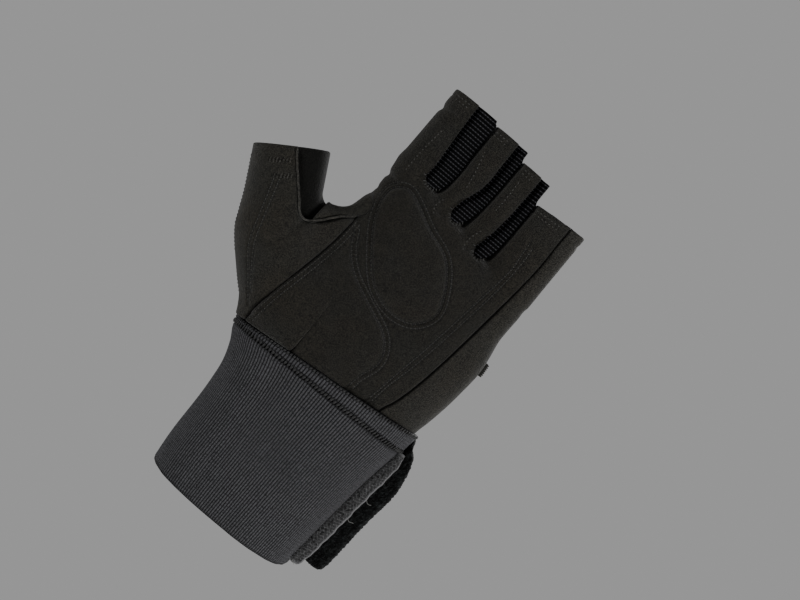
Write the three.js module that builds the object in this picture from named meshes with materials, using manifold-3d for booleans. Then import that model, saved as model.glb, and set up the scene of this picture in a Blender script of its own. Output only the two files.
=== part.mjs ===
// A half-finger weightlifting glove for the left hand, in the shape that a hand gives it.
// Millimetres. +Z runs along the hand from the wrist to the fingers, the palm faces -Y and the
// thumb points to -X. The origin is the centre of the wrist opening.
import * as THREE from "three";
import { mergeVertices } from "three/addons/utils/BufferGeometryUtils.js";
import Module from "manifold-3d";

const wasm = await Module();
wasm.setup();

// Driving dimensions.
const palmWidth = 98; // across the hand at its widest, thumb left out
const palmLength = 89; // from the cuff to the webs between the fingers
const palmDepth = 42; // palm to back, through the middle of the hand
const stallLength = 42; // from the web to the rim, on the middle finger
const fingerDepth = 23;
const thumbLength = 75; // from the heel of the hand to the thumb's rim
const thumbWidth = 33;
const thumbDepth = 29;
const thumbSpread = 33; // degrees between the thumb and the hand's own line
const wristWidth = 76;
const wristDepth = 53;
const cuffHeight = 77.5;
const hemHeight = 6.5; // the band above the cuff's lower row of stitches
const cuffProud = 1.2; // how far the cuff stands out past the suede above it
const wall = 1.6; // suede, stretch back and gussets
const cuffWall = 3; // thick ribbed elastic
const padThickness = 1.8;
const stripThickness = 2.2;
const tabThickness = 2.4;
const stripReach = 5.5; // how far each layer of the closure stands out from the wrist
const tabReach = 13;
const gap = 0.3; // left between neighbouring pieces
const stallGap = 0.8; // air between neighbouring fingers
const cuffSlope = 0.1; // rise of the cuff's top edge across the hand
const webSlope = -0.25; // fall of the webs from the index to the little finger
const cuffDroop = 0.13; // the cuff's lower edge hangs lower on the palm side
const overrun = 12; // cutting forms run this far past what they cut

const roundness = 2.4; // 2 is an ellipse, more is squarer
const palmSides = 32;
const cuffSides = 40;
const stallSides = 16;
const thumbSides = 20;
const farAway = 300;
const pastRims = 2.2; // a level that lies past every rim
const pointMerge = 1e-3;
const crumb = 0.01; // cubic millimetres; cuts that just touch leave crumbs smaller than this

// Sections of the hand. Left, right and level are shares of palmWidth and palmLength, front and
// back of palmDepth.
const palmSections = [
  { level: -0.12, left: 0.496, right: 0.462, front: 0.6, back: 0.51 },
  { level: 0, left: 0.496, right: 0.462, front: 0.6, back: 0.51 },
  { level: 0.118, left: 0.47, right: 0.48, front: 0.6, back: 0.48 },
  { level: 0.253, left: 0.46, right: 0.496, front: 0.575, back: 0.46 },
  { level: 0.388, left: 0.465, right: 0.506, front: 0.53, back: 0.445 },
  { level: 0.5, left: 0.475, right: 0.512, front: 0.49, back: 0.44 },
  { level: 0.59, left: 0.465, right: 0.51, front: 0.46, back: 0.435 },
  { level: 0.68, left: 0.42, right: 0.5, front: 0.435, back: 0.43 },
  { level: 0.78, left: 0.402, right: 0.487, front: 0.405, back: 0.42 },
  { level: 0.9, left: 0.4, right: 0.486, front: 0.355, back: 0.385 },
  { level: 1, left: 0.4, right: 0.482, front: 0.265, back: 0.275 },
];
const palmForward = 0.05; // share of palmDepth by which the knuckles lie in front of the wrist

// Finger stalls. Edges at the web and at the rim are shares of palmWidth, length of stallLength,
// depth of fingerDepth, and forward of fingerDepth, which is how far the rim leans to the palm.
const stalls = [
  { web: [-0.406, -0.163], rim: [-0.401, -0.162], length: 0.94, depth: 1, forward: 0.3, slant: 0 },
  { web: [-0.163, 0.02], rim: [-0.162, 0.038], length: 1.02, depth: 1, forward: 0.28, slant: 0 },
  { web: [0.02, 0.2], rim: [0.038, 0.21], length: 1.01, depth: 0.96, forward: 0.36, slant: 0 },
  { web: [0.2, 0.488], rim: [0.21, 0.48], length: 0.91, depth: 0.92, forward: 0.46, slant: 0.12 },
];
const stallRoot = 0.35; // share of stallLength that a stall reaches down into the palm
const rootInset = 0.1; // share of fingerDepth by which the root is drawn in, to lie inside the palm

// Sections of the thumb, along its own line. Left and right are shares of thumbWidth, front, back
// and forward of thumbDepth.
const thumbSections = [
  { level: -0.13, left: 0.38, right: 0.34, front: 0.58, back: 0.55, forward: 0.04 },
  { level: 0, left: 0.43, right: 0.4, front: 0.655, back: 0.6, forward: 0.07 },
  { level: 0.2, left: 0.55, right: 0.45, front: 0.69, back: 0.6, forward: 0.14 },
  { level: 0.467, left: 0.636, right: 0.46, front: 0.62, back: 0.6, forward: 0.28 },
  { level: 0.6, left: 0.6, right: 0.46, front: 0.57, back: 0.56, forward: 0.35 },
  { level: 0.733, left: 0.552, right: 0.464, front: 0.53, back: 0.53, forward: 0.41 },
  { level: 1, left: 0.503, right: 0.503, front: 0.5, back: 0.5, forward: 0.48 },
];
const webSides = 12;
// Sections of the web between thumb and index finger. Across, level and half are shares of
// palmWidth and palmLength, depth and forward of palmDepth.
const webSections = [
  { across: -0.592, level: 0.5, half: 0.061, depth: 0.26, forward: 0.21 },
  { across: -0.531, level: 0.528, half: 0.061, depth: 0.25, forward: 0.19 },
  { across: -0.48, level: 0.562, half: 0.051, depth: 0.24, forward: 0.155 },
  { across: -0.434, level: 0.618, half: 0.051, depth: 0.23, forward: 0.12 },
  { across: -0.393, level: 0.691, half: 0.046, depth: 0.23, forward: 0.095 },
  { across: -0.367, level: 0.781, half: 0.046, depth: 0.24, forward: 0.07 },
];
const thumbRoot = { across: -0.384, level: 0.057 }; // shares of palmWidth and palmLength

// Sections of the cuff. Level is a share of cuffHeight; the others say how far each side has gone
// from the wrist's size to that of the hand's heel.
const cuffSections = [
  { level: 0, left: 0, right: 0, depth: 0 },
  { level: 0.2, left: 0.13, right: 0.16, depth: 0.1 },
  { level: 0.45, left: 0.18, right: 0.36, depth: 0.2 },
  { level: 0.6, left: 0.25, right: 0.5, depth: 0.35 },
  { level: 0.72, left: 0.36, right: 0.66, depth: 0.5 },
  { level: 0.84, left: 0.62, right: 0.85, depth: 0.75 },
  { level: 0.93, left: 0.93, right: 0.97, depth: 0.95 },
  { level: 1, left: 1, right: 1, depth: 1 },
];

// Seams and outlines of pads. Across is a share of palmWidth, level of palmLength and, past 1, of
// stallLength. Each is a smooth line through its rows.
const gussetSeams = {
  index_middle_gusset: [
    { across: -0.281, level: pastRims },
    { across: -0.265, level: 1.51 },
    { across: -0.255, level: 1.14 },
    { across: -0.22, level: 1.06 },
    { across: -0.163, level: 1.13 },
    { across: -0.162, level: pastRims },
  ],
  middle_ring_gusset: [
    { across: -0.026, level: pastRims },
    { across: -0.02, level: 1.5 },
    { across: -0.058, level: 1.14 },
    { across: -0.046, level: 1.02 },
    { across: 0.02, level: 1.06 },
    { across: 0.038, level: pastRims },
  ],
  ring_little_gusset: [
    { across: 0.158, level: pastRims },
    { across: 0.154, level: 1.37 },
    { across: 0.122, level: 0.99 },
    { across: 0.14, level: 0.94 },
    { across: 0.2, level: 0.98 },
    { across: 0.21, level: pastRims },
  ],
};
const webSeam = [
  { across: -0.515, level: 0.531 },
  { across: -0.474, level: 0.59 },
  { across: -0.403, level: 0.675 },
  { across: -0.35, level: 0.747 },
  { across: -0.36, level: 0.815 },
  { across: -0.44, level: 0.85 },
  { across: -0.515, level: 0.7 },
];
const thenarSeam = [
  { across: -0.472, level: -0.3 },
  { across: -0.461, level: 0.05 },
  { across: -0.423, level: 0.253 },
  { across: -0.388, level: 0.455 },
  { across: -0.367, level: 0.706 },
];
// Past the seam's end the thumb's area keeps clear of the index finger.
const thenarEnd = [
  { across: -0.45, level: 0.88 },
  { across: -0.48, level: pastRims },
];
const sideSeam = [
  { across: 0.262, level: -0.3 },
  { across: 0.306, level: 0.163 },
  { across: 0.357, level: 0.455 },
  { across: 0.396, level: 0.95 },
  { across: 0.402, level: pastRims },
];
// The seam down the inner side of the thumb. Across is a share of thumbWidth, along of thumbLength.
const thumbSideSeam = [
  { across: 0.07, along: 1.2 },
  { across: 0.1, along: 0.955 },
  { across: 0.15, along: 0.79 },
  { across: 0.24, along: 0.62 },
  { across: 0.37, along: 0.575 },
  { across: 0.488, along: 0.622 },
  { across: 0.9, along: 0.85 },
];
const ovalPadOutline = [
  { across: -0.325, level: 0.77 },
  { across: -0.24, level: 0.61 },
  { across: -0.12, level: 0.465 },
  { across: 0.02, level: 0.43 },
  { across: 0.15, level: 0.51 },
  { across: 0.18, level: 0.65 },
  { across: 0.08, level: 0.82 },
  { across: -0.12, level: 0.945 },
  { across: -0.28, level: 1.01 },
  { across: -0.345, level: 0.9 },
];
const heelPadOutline = [
  { across: -0.42, level: 0.05 },
  { across: -0.41, level: 0.16 },
  { across: -0.37, level: 0.4 },
  { across: -0.335, level: 0.65 },
  { across: -0.25, level: 0.53 },
  { across: -0.12, level: 0.405 },
  { across: 0.06, level: 0.34 },
  { across: 0.12, level: 0.22 },
  { across: 0.09, level: 0.06 },
];
const webDepth = 0.02; // share of palmDepth that the web's binding reaches round to the back
const seamSteps = 2; // straight pieces for each row of a seam

// The closure at the wrist's little-finger side, seen from the palm. Reach is a share of how far
// the layer stands out, level a share of cuffHeight.
const stripOutline = [
  { level: 0.045, reach: 0.3 },
  { level: 0.1, reach: 0.95 },
  { level: 0.5, reach: 1 },
  { level: 0.8, reach: 0.8 },
  { level: 0.93, reach: 0.35 },
];
const tabOutline = [
  { level: 0.095, reach: 0.85 },
  { level: 0.14, reach: 1.06 },
  { level: 0.45, reach: 1.02 },
  { level: 0.7, reach: 0.98 },
  { level: 0.85, reach: 0.72 },
  { level: 0.94, reach: 0.45 },
  { level: 0.985, reach: 0.18 },
];
const slitForward = 0.2; // share of half the wrist's depth by which the closure lies to the palm
const tabCurl = 0.2; // share of its reach by which the tab's edge curls to the palm
const strapStart = -0.2; // share of wristWidth where the strap is sewn to the back of the cuff
const strapLevels = [0.12, 0.88]; // shares of cuffHeight

// The small tab at the outer edge of the palm. Across and level are shares of palmWidth and
// palmLength, the rest millimetres.
const seamTabPlace = { across: 0.515, level: 0.522, reach: 2.5, height: 6, depth: 1.4 };

const lerp = THREE.MathUtils.lerp;

function solid(geometry) {
  const bare = new THREE.BufferGeometry().setAttribute("position", geometry.getAttribute("position"));
  if (geometry.index) bare.setIndex(geometry.index);
  const merged = mergeVertices(bare, pointMerge);
  const mesh = new wasm.Mesh({
    numProp: 3,
    vertProperties: merged.attributes.position.array,
    triVerts: new Uint32Array(merged.index.array),
  });
  return new wasm.Manifold(mesh);
}

// Joins sections, given as rings of 2-D points, into one closed form. place(point, i) sets a
// point of ring i in space. Rings run anticlockwise, seen from where the last one lies.
function loft(rings, place) {
  const count = rings[0].length;
  const positions = rings.flatMap((ring, i) => ring.flatMap((p) => place(p, i).toArray()));
  const index = [];
  for (let i = 0; i + 1 < rings.length; i++) {
    for (let j = 0; j < count; j++) {
      const a = i * count + j;
      const b = i * count + ((j + 1) % count);
      index.push(a, b, b + count, a, b + count, a + count);
    }
  }
  const last = (rings.length - 1) * count;
  THREE.ShapeUtils.triangulateShape(rings[0], []).forEach(([a, b, c]) => index.push(a, c, b));
  THREE.ShapeUtils.triangulateShape(rings.at(-1), []).forEach(([a, b, c]) => {
    index.push(last + a, last + b, last + c);
  });
  const geometry = new THREE.BufferGeometry();
  geometry.setAttribute("position", new THREE.Float32BufferAttribute(positions, 3));
  geometry.setIndex(index);
  return solid(geometry);
}

// A rounded section about its centre, reaching left, right, front and back of it.
function section(sides, { left, right, front, back }) {
  return Array.from({ length: sides }, (_, i) => {
    const angle = (2 * Math.PI * i) / sides;
    const c = Math.cos(angle);
    const s = Math.sin(angle);
    const reach = (Math.abs(c) ** roundness + Math.abs(s) ** roundness) ** (-1 / roundness);
    return new THREE.Vector2(c * reach * (c < 0 ? left : right), s * reach * (s < 0 ? front : back));
  });
}

// A block with an outline in X and Z that runs along Y between two depths.
function blockAlongY(outline, front = -farAway, back = farAway) {
  const shape = new THREE.Shape(outline);
  const geometry = new THREE.ExtrudeGeometry(shape, { depth: back - front, bevelEnabled: false });
  return solid(geometry.rotateX(Math.PI / 2).translate(0, back, 0));
}

// Moves a closed outline outwards by a distance, or inwards where it is negative.
function grown(outline, distance) {
  const turn = THREE.ShapeUtils.isClockWise(outline) ? -1 : 1;
  return outline.map((p, i) => {
    const before = outline.at(i - 1);
    const after = outline[(i + 1) % outline.length];
    const a = p.clone().sub(before).normalize();
    const b = after.clone().sub(p).normalize();
    const along = a.clone().add(b).normalize();
    const out = new THREE.Vector2(along.y, -along.x).multiplyScalar(turn);
    const side = new THREE.Vector2(a.y, -a.x).multiplyScalar(turn);
    return p.clone().addScaledVector(out, distance / Math.max(0.5, out.dot(side)));
  });
}

// Height of a share along the palm, and past 1 along the fingers.
function heightOf(level) {
  return cuffHeight + Math.min(level, 1) * palmLength + Math.max(level - 1, 0) * stallLength;
}

function onHand({ across, level }) {
  return new THREE.Vector2(across * palmWidth, heightOf(level));
}

// A smooth line through points.
function smooth(points) {
  return new THREE.SplineCurve(points).getPoints((points.length - 1) * seamSteps);
}

function smoothRing(points) {
  return smooth([...points, points[0]]).slice(0, -1);
}

const spread = THREE.MathUtils.degToRad(thumbSpread);
const thumbLine = new THREE.Vector2(-Math.sin(spread), Math.cos(spread));
const thumbAcross = new THREE.Vector2(Math.cos(spread), Math.sin(spread));
const thumbStart = onHand(thumbRoot);

// A point of the thumb's own plane in X and Z, from millimetres across it and along it.
function onThumb(across, along) {
  return thumbStart.clone().addScaledVector(thumbAcross, across).addScaledVector(thumbLine, along);
}

function slopeAt(level) {
  return lerp(cuffSlope, webSlope, level);
}

function palmCentre(level) {
  return -palmForward * palmDepth * THREE.MathUtils.clamp(level, 0, 1);
}

function palmForm(grow) {
  const rings = palmSections.map((row) =>
    section(palmSides, {
      left: row.left * palmWidth + grow,
      right: row.right * palmWidth + grow,
      front: row.front * palmDepth + grow,
      back: row.back * palmDepth + grow,
    }),
  );
  const top = palmSections.length - 1;
  return loft(rings, (p, i) => {
    const { level } = palmSections[i];
    const height = heightOf(level) + slopeAt(level) * p.x + (i === top ? grow : 0);
    return new THREE.Vector3(p.x, palmCentre(level) + p.y, height);
  });
}

// A finger stall. Its rim is at share 1, its web at share 0.
function stallForm(stall, grow, past) {
  const webHeight = heightOf(1) + (webSlope * palmWidth * (stall.web[0] + stall.web[1])) / 2;
  const length = stall.length * stallLength;
  const shares = [-stallRoot, 0, 0.35, 0.7, 1, 1 + past / length].slice(0, past ? 6 : 5);
  const edges = shares.map((share) =>
    [0, 1].map((side) => lerp(stall.web[side], stall.rim[side], share) * palmWidth),
  );
  const rings = edges.map(([from, to], i) => {
    const inset = i === 0 ? rootInset * fingerDepth : 0;
    const across = (to - from - stallGap) / 2 + grow - inset;
    const depth = (stall.depth * fingerDepth) / 2 + grow - inset;
    return section(stallSides, { left: across, right: across, front: depth, back: depth });
  });
  return loft(rings, (p, i) => {
    const share = shares[i];
    const lean = stall.forward * fingerDepth * Math.max(share, 0) ** 1.5;
    const height = webHeight + share * length + stall.slant * Math.max(share, 0) * p.x;
    const centre = (edges[i][0] + edges[i][1]) / 2;
    return new THREE.Vector3(centre + p.x, palmCentre(1) - lean + p.y, height);
  });
}

function thumbForm(grow, past) {
  const rows = [...thumbSections];
  if (past) rows.push({ ...rows.at(-1), level: 1 + past / thumbLength });
  const rings = rows.map((row) =>
    section(thumbSides, {
      left: row.left * thumbWidth + grow,
      right: row.right * thumbWidth + grow,
      front: row.front * thumbDepth + grow,
      back: row.back * thumbDepth + grow,
    }),
  );
  return loft(rings, (p, i) => {
    const flat = onThumb(p.x, rows[i].level * thumbLength);
    return new THREE.Vector3(flat.x, p.y - rows[i].forward * thumbDepth, flat.y);
  });
}

function webForm(grow) {
  const centres = webSections.map(onHand);
  const rings = webSections.map((row) => {
    const across = row.half * palmWidth + grow;
    const depth = row.depth * palmDepth + grow;
    return section(webSides, { left: across, right: across, front: depth, back: depth });
  });
  return loft(rings, (p, i) => {
    const before = centres[Math.max(i - 1, 0)];
    const after = centres[Math.min(i + 1, centres.length - 1)];
    const along = after.clone().sub(before).normalize();
    const flat = centres[i].clone().addScaledVector(new THREE.Vector2(along.y, -along.x), p.x);
    return new THREE.Vector3(flat.x, p.y - webSections[i].forward * palmDepth, flat.y);
  });
}

// The hand inside the glove, grown by a distance. past lengthens the fingers past their rims.
function handForm(grow, past = 0) {
  const parts = [palmForm(grow), webForm(grow), thumbForm(grow, past)];
  stalls.forEach((stall) => parts.push(stallForm(stall, grow, past)));
  return wasm.Manifold.union(parts);
}

function cuffReach(row) {
  const heel = palmSections[1];
  const proud = cuffProud;
  return {
    left: lerp(wristWidth / 2, heel.left * palmWidth + proud, row.left),
    right: lerp(wristWidth / 2, heel.right * palmWidth + proud, row.right),
    front: lerp(wristDepth / 2, heel.front * palmDepth + proud, row.depth),
    back: lerp(wristDepth / 2, heel.back * palmDepth + proud, row.depth),
  };
}

// The wrist inside the cuff, grown by a distance. past lengthens it at both ends.
function cuffForm(grow, past = 0) {
  const rows = [...cuffSections];
  if (past) {
    rows.unshift({ ...rows[0], level: -past / cuffHeight });
    rows.push({ ...rows.at(-1), level: 1 + past / cuffHeight });
  }
  const rings = rows.map((row) => {
    const reach = cuffReach(row);
    Object.keys(reach).forEach((side) => (reach[side] += grow));
    return section(cuffSides, reach);
  });
  return loft(rings, (p, i) => {
    const share = THREE.MathUtils.clamp(rows[i].level, 0, 1);
    const height = rows[i].level * cuffHeight + cuffSlope * share * p.x;
    return new THREE.Vector3(p.x, p.y, height + cuffDroop * (1 - share) * p.y);
  });
}

// Everything above a line across the hand, which is at a height on the hand's axis.
function above(height, slope) {
  const outline = [
    new THREE.Vector2(-farAway, height - slope * farAway),
    new THREE.Vector2(farAway, height + slope * farAway),
    new THREE.Vector2(farAway, 2 * farAway),
    new THREE.Vector2(-farAway, 2 * farAway),
  ];
  return blockAlongY(outline);
}

// Everything on the back's side of lines of depths, each depth given with its height. Each line
// stands at a place across, and the first and the last go on sideways without an end.
function behind(lines, shift, place) {
  const rows = [{ ...lines[0], across: -farAway }, ...lines, { ...lines.at(-1), across: farAway }];
  rows.reverse();
  const rings = rows.map(({ line }) => [
    ...line.map(([depth, along]) => new THREE.Vector2(along, depth + shift)),
    new THREE.Vector2(line.at(-1)[1], farAway),
    new THREE.Vector2(line[0][1], farAway),
  ]);
  return loft(rings, (p, i) => {
    const flat = place(rows[i].across, p.x);
    return new THREE.Vector3(flat.x, p.y, flat.y);
  });
}

// Cuts a cloth along an outline and returns the piece inside and the piece outside.
function cutOut(cloth, outline, depth = farAway) {
  return [
    cloth.intersect(blockAlongY(grown(outline, -gap / 2), -farAway, depth - gap / 2)),
    cloth.subtract(blockAlongY(grown(outline, gap / 2), -farAway, depth + gap / 2)),
  ];
}

const straight = (across, along) => new THREE.Vector2(across, along);

// Depths at which the palm side meets the back: along each finger, at the little finger's side,
// where the suede reaches further round, and along the thumb.
const sideReach = 0.26; // share of fingerDepth

function middleLine(stall, shift = 0) {
  const lean = stall.forward * fingerDepth;
  return [
    [shift, 0],
    [shift, cuffHeight],
    [shift + palmCentre(1), heightOf(1)],
    [shift + palmCentre(1) - lean * 0.35, heightOf(1.5)],
    [shift + palmCentre(1) - lean, heightOf(2)],
    [shift + palmCentre(1) - lean, heightOf(2) + farAway / 2],
  ];
}

const middleLines = stalls.map((stall) => ({
  across: ((stall.web[0] + stall.web[1]) / 2) * palmWidth,
  line: middleLine(stall),
}));
const sideLines = [{ across: 0, line: middleLine(stalls.at(-1), sideReach * fingerDepth) }];
const thumbDepths = thumbSections.map((row) => [-row.forward * thumbDepth, row.level * thumbLength]);
thumbDepths.unshift([0, -farAway]);
thumbDepths.push([thumbDepths.at(-1)[0], farAway]);
const thumbLines = [
  { across: thumbWidth / 2, line: thumbDepths },
  { across: thumbWidth, line: thumbDepths.map(([, along]) => [palmCentre(0.5), along]) },
];

function panels() {
  const shell = handForm(0)
    .subtract(handForm(-wall, overrun))
    .intersect(above(cuffHeight + gap / 2, cuffSlope));
  const found = {};
  const thumbArea = [...smooth(thenarSeam.map(onHand)), ...thenarEnd.map(onHand)];
  thumbArea.push(straight(-farAway, heightOf(pastRims)), straight(-farAway, 0));
  const sideArea = [...smooth(sideSeam.map(onHand)), straight(farAway, farAway), straight(farAway, 0)];
  const onThumbSide = blockAlongY(thumbArea);
  const onLittleSide = blockAlongY(sideArea);
  const backPart = (shift) => {
    const thumb = behind(thumbLines, shift, onThumb).intersect(onThumbSide);
    const side = behind(sideLines, shift, straight).intersect(onLittleSide);
    const middle = behind(middleLines, shift, straight).subtract(onThumbSide).subtract(onLittleSide);
    return wasm.Manifold.union([thumb, side, middle]);
  };
  let rest = shell;
  [found.web_binding, rest] = cutOut(rest, smoothRing(webSeam.map(onHand)), webDepth * palmDepth);
  found.back_panel = rest.intersect(backPart(gap / 2));
  rest = rest.subtract(backPart(-gap / 2));
  for (const [name, seam] of Object.entries(gussetSeams)) {
    [found[name], rest] = cutOut(rest, smooth(seam.map(onHand)));
  }
  const inner = thumbSideSeam.map((row) => onThumb(row.across * thumbWidth, row.along * thumbLength));
  inner.push(onThumb(thumbSideSeam.at(-1).across * thumbWidth, thumbSideSeam[0].along * thumbLength));
  [found.thumb_side_panel, rest] = cutOut(rest, inner);
  [found.thumb_panel, rest] = cutOut(rest, thumbArea);
  [found.little_side_panel, found.palm_panel] = cutOut(rest, sideArea);
  return found;
}

// An overlay on the palm with a stepped edge.
function pad(outline) {
  const edge = smoothRing(outline.map(onHand));
  const layer = (thickness, inset) =>
    handForm(gap + thickness)
      .subtract(handForm(gap))
      .intersect(blockAlongY(grown(edge, -inset), -farAway, -gap));
  return layer(padThickness / 2, 0).add(layer(padThickness, padThickness));
}

// Where the palm side's edge of the closure lies, and how the layers of the closure stack there.
const slit = (-slitForward * wristDepth) / 2;

function cuffEdge(level) {
  const next = cuffSections.findIndex((row) => row.level >= level);
  const a = cuffSections[Math.max(next - 1, 0)];
  const b = cuffSections[next];
  const share = next > 0 ? (level - a.level) / (b.level - a.level) : 0;
  return cuffReach({ right: lerp(a.right, b.right, share), left: 0, depth: 0 }).right;
}

// A flat layer of the closure: it runs from just inside the cuff's outer face to an outline, with
// its front face at a depth, and its edge curls forward.
function closureLayer(rows, reach, inset, front, thickness, curl) {
  const rings = rows.map((row) => {
    const from = cuffEdge(row.level) - inset;
    const to = cuffEdge(row.level) + reach * row.reach;
    const bend = from + (to - from) * 0.55;
    const forward = curl * (to - bend);
    return [
      new THREE.Vector2(from, front),
      new THREE.Vector2(bend, front),
      new THREE.Vector2(to, front - forward),
      new THREE.Vector2(to, front - forward + thickness),
      new THREE.Vector2(bend, front + thickness),
      new THREE.Vector2(from, front + thickness),
    ];
  });
  return loft(rings, (p, i) => new THREE.Vector3(p.x, p.y, rows[i].level * cuffHeight));
}

function cuffPieces() {
  const ring = cuffForm(0).subtract(cuffForm(-cuffWall, overrun));
  const hemBottom = cuffHeight - hemHeight;
  const hemSlope = cuffSlope / 4;
  const hem = ring
    .intersect(above(hemBottom + gap / 2, hemSlope))
    .subtract(above(cuffHeight - gap / 2, cuffSlope));
  const slot = new THREE.BoxGeometry(wristWidth, stripThickness + 2 * gap, 2 * farAway);
  const cutter = solid(slot.translate(wristWidth * 0.85, slit, 0));
  const band = ring.subtract(above(hemBottom - gap / 2, hemSlope)).subtract(cutter);
  return { cuff_band: band, cuff_hem: hem };
}

function closurePieces() {
  const stripFront = slit - stripThickness / 2;
  const tabFront = stripFront + stripThickness + gap;
  const strip = closureLayer(stripOutline, stripReach, cuffWall, stripFront, stripThickness, 0);
  const flap = closureLayer(tabOutline, tabReach, cuffWall, tabFront, tabThickness, tabCurl);
  const [low, high] = strapLevels.map((level) => level * cuffHeight);
  const from = strapStart * wristWidth;
  const area = [straight(from, low), straight(wristWidth, low), straight(wristWidth, high)];
  area.push(straight(from, high));
  const wrap = cuffForm(gap + tabThickness).intersect(blockAlongY(area, tabFront, farAway));
  return { closure_strip: strip, hook_tab: flap.add(wrap).subtract(cuffForm(gap)) };
}

// A small fold of suede that is sewn in at the outer edge of the palm.
function seamTab() {
  const { reach, height, depth } = seamTabPlace;
  const middle = onHand(seamTabPlace);
  const box = new THREE.BoxGeometry(2 * reach, depth, height);
  return solid(box.translate(middle.x, 0, middle.y)).subtract(handForm(gap));
}

const looks = {
  suede: { color: 0x26261f, roughness: 0.95 },
  stretch: { color: 0x17171a, roughness: 0.85 },
  mesh: { color: 0x0d0d10, roughness: 0.8 },
  elastic: { color: 0x2c2c2f, roughness: 0.9 },
  hook: { color: 0x060606, roughness: 1 },
};

const glove = new THREE.Group();

function geometryOf(form) {
  const mesh = form.getMesh();
  const geometry = new THREE.BufferGeometry();
  geometry.setAttribute("position", new THREE.BufferAttribute(mesh.vertProperties, mesh.numProp));
  return geometry.setIndex(new THREE.BufferAttribute(mesh.triVerts, 1));
}

function withoutCrumbs(form) {
  const bodies = solid(geometryOf(form)).decompose();
  return wasm.Manifold.union(bodies.filter((body) => body.volume() > crumb));
}

function addPiece(name, form, look) {
  const geometry = geometryOf(withoutCrumbs(form));
  const piece = new THREE.Mesh(geometry, new THREE.MeshStandardMaterial({ metalness: 0, ...look }));
  piece.name = name;
  glove.add(piece);
}

const hand = panels();
const materialOf = {
  palm_panel: looks.suede,
  little_side_panel: looks.suede,
  thumb_panel: looks.suede,
  thumb_side_panel: looks.suede,
  web_binding: looks.suede,
  back_panel: looks.stretch,
  index_middle_gusset: looks.mesh,
  middle_ring_gusset: looks.mesh,
  ring_little_gusset: looks.mesh,
};
Object.entries(hand).forEach(([name, form]) => addPiece(name, form, materialOf[name]));
addPiece("oval_pad", pad(ovalPadOutline), looks.suede);
addPiece("heel_pad", pad(heelPadOutline), looks.suede);
Object.entries(cuffPieces()).forEach(([name, form]) => addPiece(name, form, looks.elastic));
const closure = closurePieces();
addPiece("closure_strip", closure.closure_strip, looks.elastic);
addPiece("hook_tab", closure.hook_tab, looks.hook);
addPiece("seam_tab", seamTab(), looks.suede);

export default glove;
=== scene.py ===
"""A half-finger weightlifting glove, the left one, upright, palm to -Y, thumb to -X.

Shapes are worked out in millimetres and turned into metres as each mesh is made.
"""

import math

import bmesh
import bpy
import numpy as np
from mathutils import Matrix, Vector
from mathutils.bvhtree import BVHTree


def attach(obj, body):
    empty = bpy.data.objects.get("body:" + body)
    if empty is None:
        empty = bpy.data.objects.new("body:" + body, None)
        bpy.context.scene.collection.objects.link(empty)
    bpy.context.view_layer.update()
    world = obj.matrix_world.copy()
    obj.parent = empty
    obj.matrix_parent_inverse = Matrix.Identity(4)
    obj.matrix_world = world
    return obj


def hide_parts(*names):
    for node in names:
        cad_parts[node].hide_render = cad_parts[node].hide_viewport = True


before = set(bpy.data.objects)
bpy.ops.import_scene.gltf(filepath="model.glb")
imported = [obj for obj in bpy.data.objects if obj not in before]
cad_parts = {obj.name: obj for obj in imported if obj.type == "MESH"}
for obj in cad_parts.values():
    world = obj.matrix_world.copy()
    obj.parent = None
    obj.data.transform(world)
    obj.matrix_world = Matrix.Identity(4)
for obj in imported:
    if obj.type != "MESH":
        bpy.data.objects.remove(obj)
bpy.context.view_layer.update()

MM = 0.001
CELL = 0.56

# Sizes of the glove, as in its source.
PALM_WIDTH = 98.0
PALM_LENGTH = 89.0
PALM_DEPTH = 42.0
STALL_LENGTH = 42.0
FINGER_DEPTH = 23.0
THUMB_LENGTH = 75.0
THUMB_WIDTH = 33.0
THUMB_DEPTH = 29.0
THUMB_SPREAD = math.radians(33)
WRIST_WIDTH = 76.0
WRIST_DEPTH = 53.0
CUFF_HEIGHT = 77.5
HEM_HEIGHT = 6.5
CUFF_PROUD = 1.2
WALL = 1.6
CUFF_WALL = 3.0
ROUNDNESS = 2.4
CUFF_SLOPE = 0.1
WEB_SLOPE = -0.25
CUFF_DROOP = 0.13
PALM_FORWARD = 0.05
STALL_ROOT = 0.35
ROOT_INSET = 4.0
OVERLAP = 0.1
ROUND_EDGE = 0.4

# Sections of the palm: level and the reaches left, right, front and back.
PALM = [
    (-0.12, 0.496, 0.462, 0.6, 0.51),
    (0.0, 0.496, 0.462, 0.6, 0.51),
    (0.118, 0.47, 0.48, 0.6, 0.48),
    (0.253, 0.46, 0.496, 0.575, 0.46),
    (0.388, 0.465, 0.506, 0.53, 0.445),
    (0.5, 0.475, 0.512, 0.49, 0.44),
    (0.59, 0.465, 0.51, 0.46, 0.435),
    (0.68, 0.42, 0.5, 0.435, 0.43),
    (0.78, 0.402, 0.487, 0.405, 0.42),
    (0.9, 0.4, 0.486, 0.355, 0.385),
    (1.0, 0.4, 0.482, 0.285, 0.3),
]
# Finger stalls: edges at the web, edges at the rim, length, depth and forward lean.
STALLS = [
    (-0.406, -0.163, -0.401, -0.162, 0.94, 1.0, 0.3),
    (-0.163, 0.02, -0.162, 0.038, 1.02, 1.0, 0.28),
    (0.02, 0.2, 0.038, 0.21, 1.01, 0.96, 0.36),
    (0.2, 0.488, 0.21, 0.48, 0.91, 0.92, 0.46),
]
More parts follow.
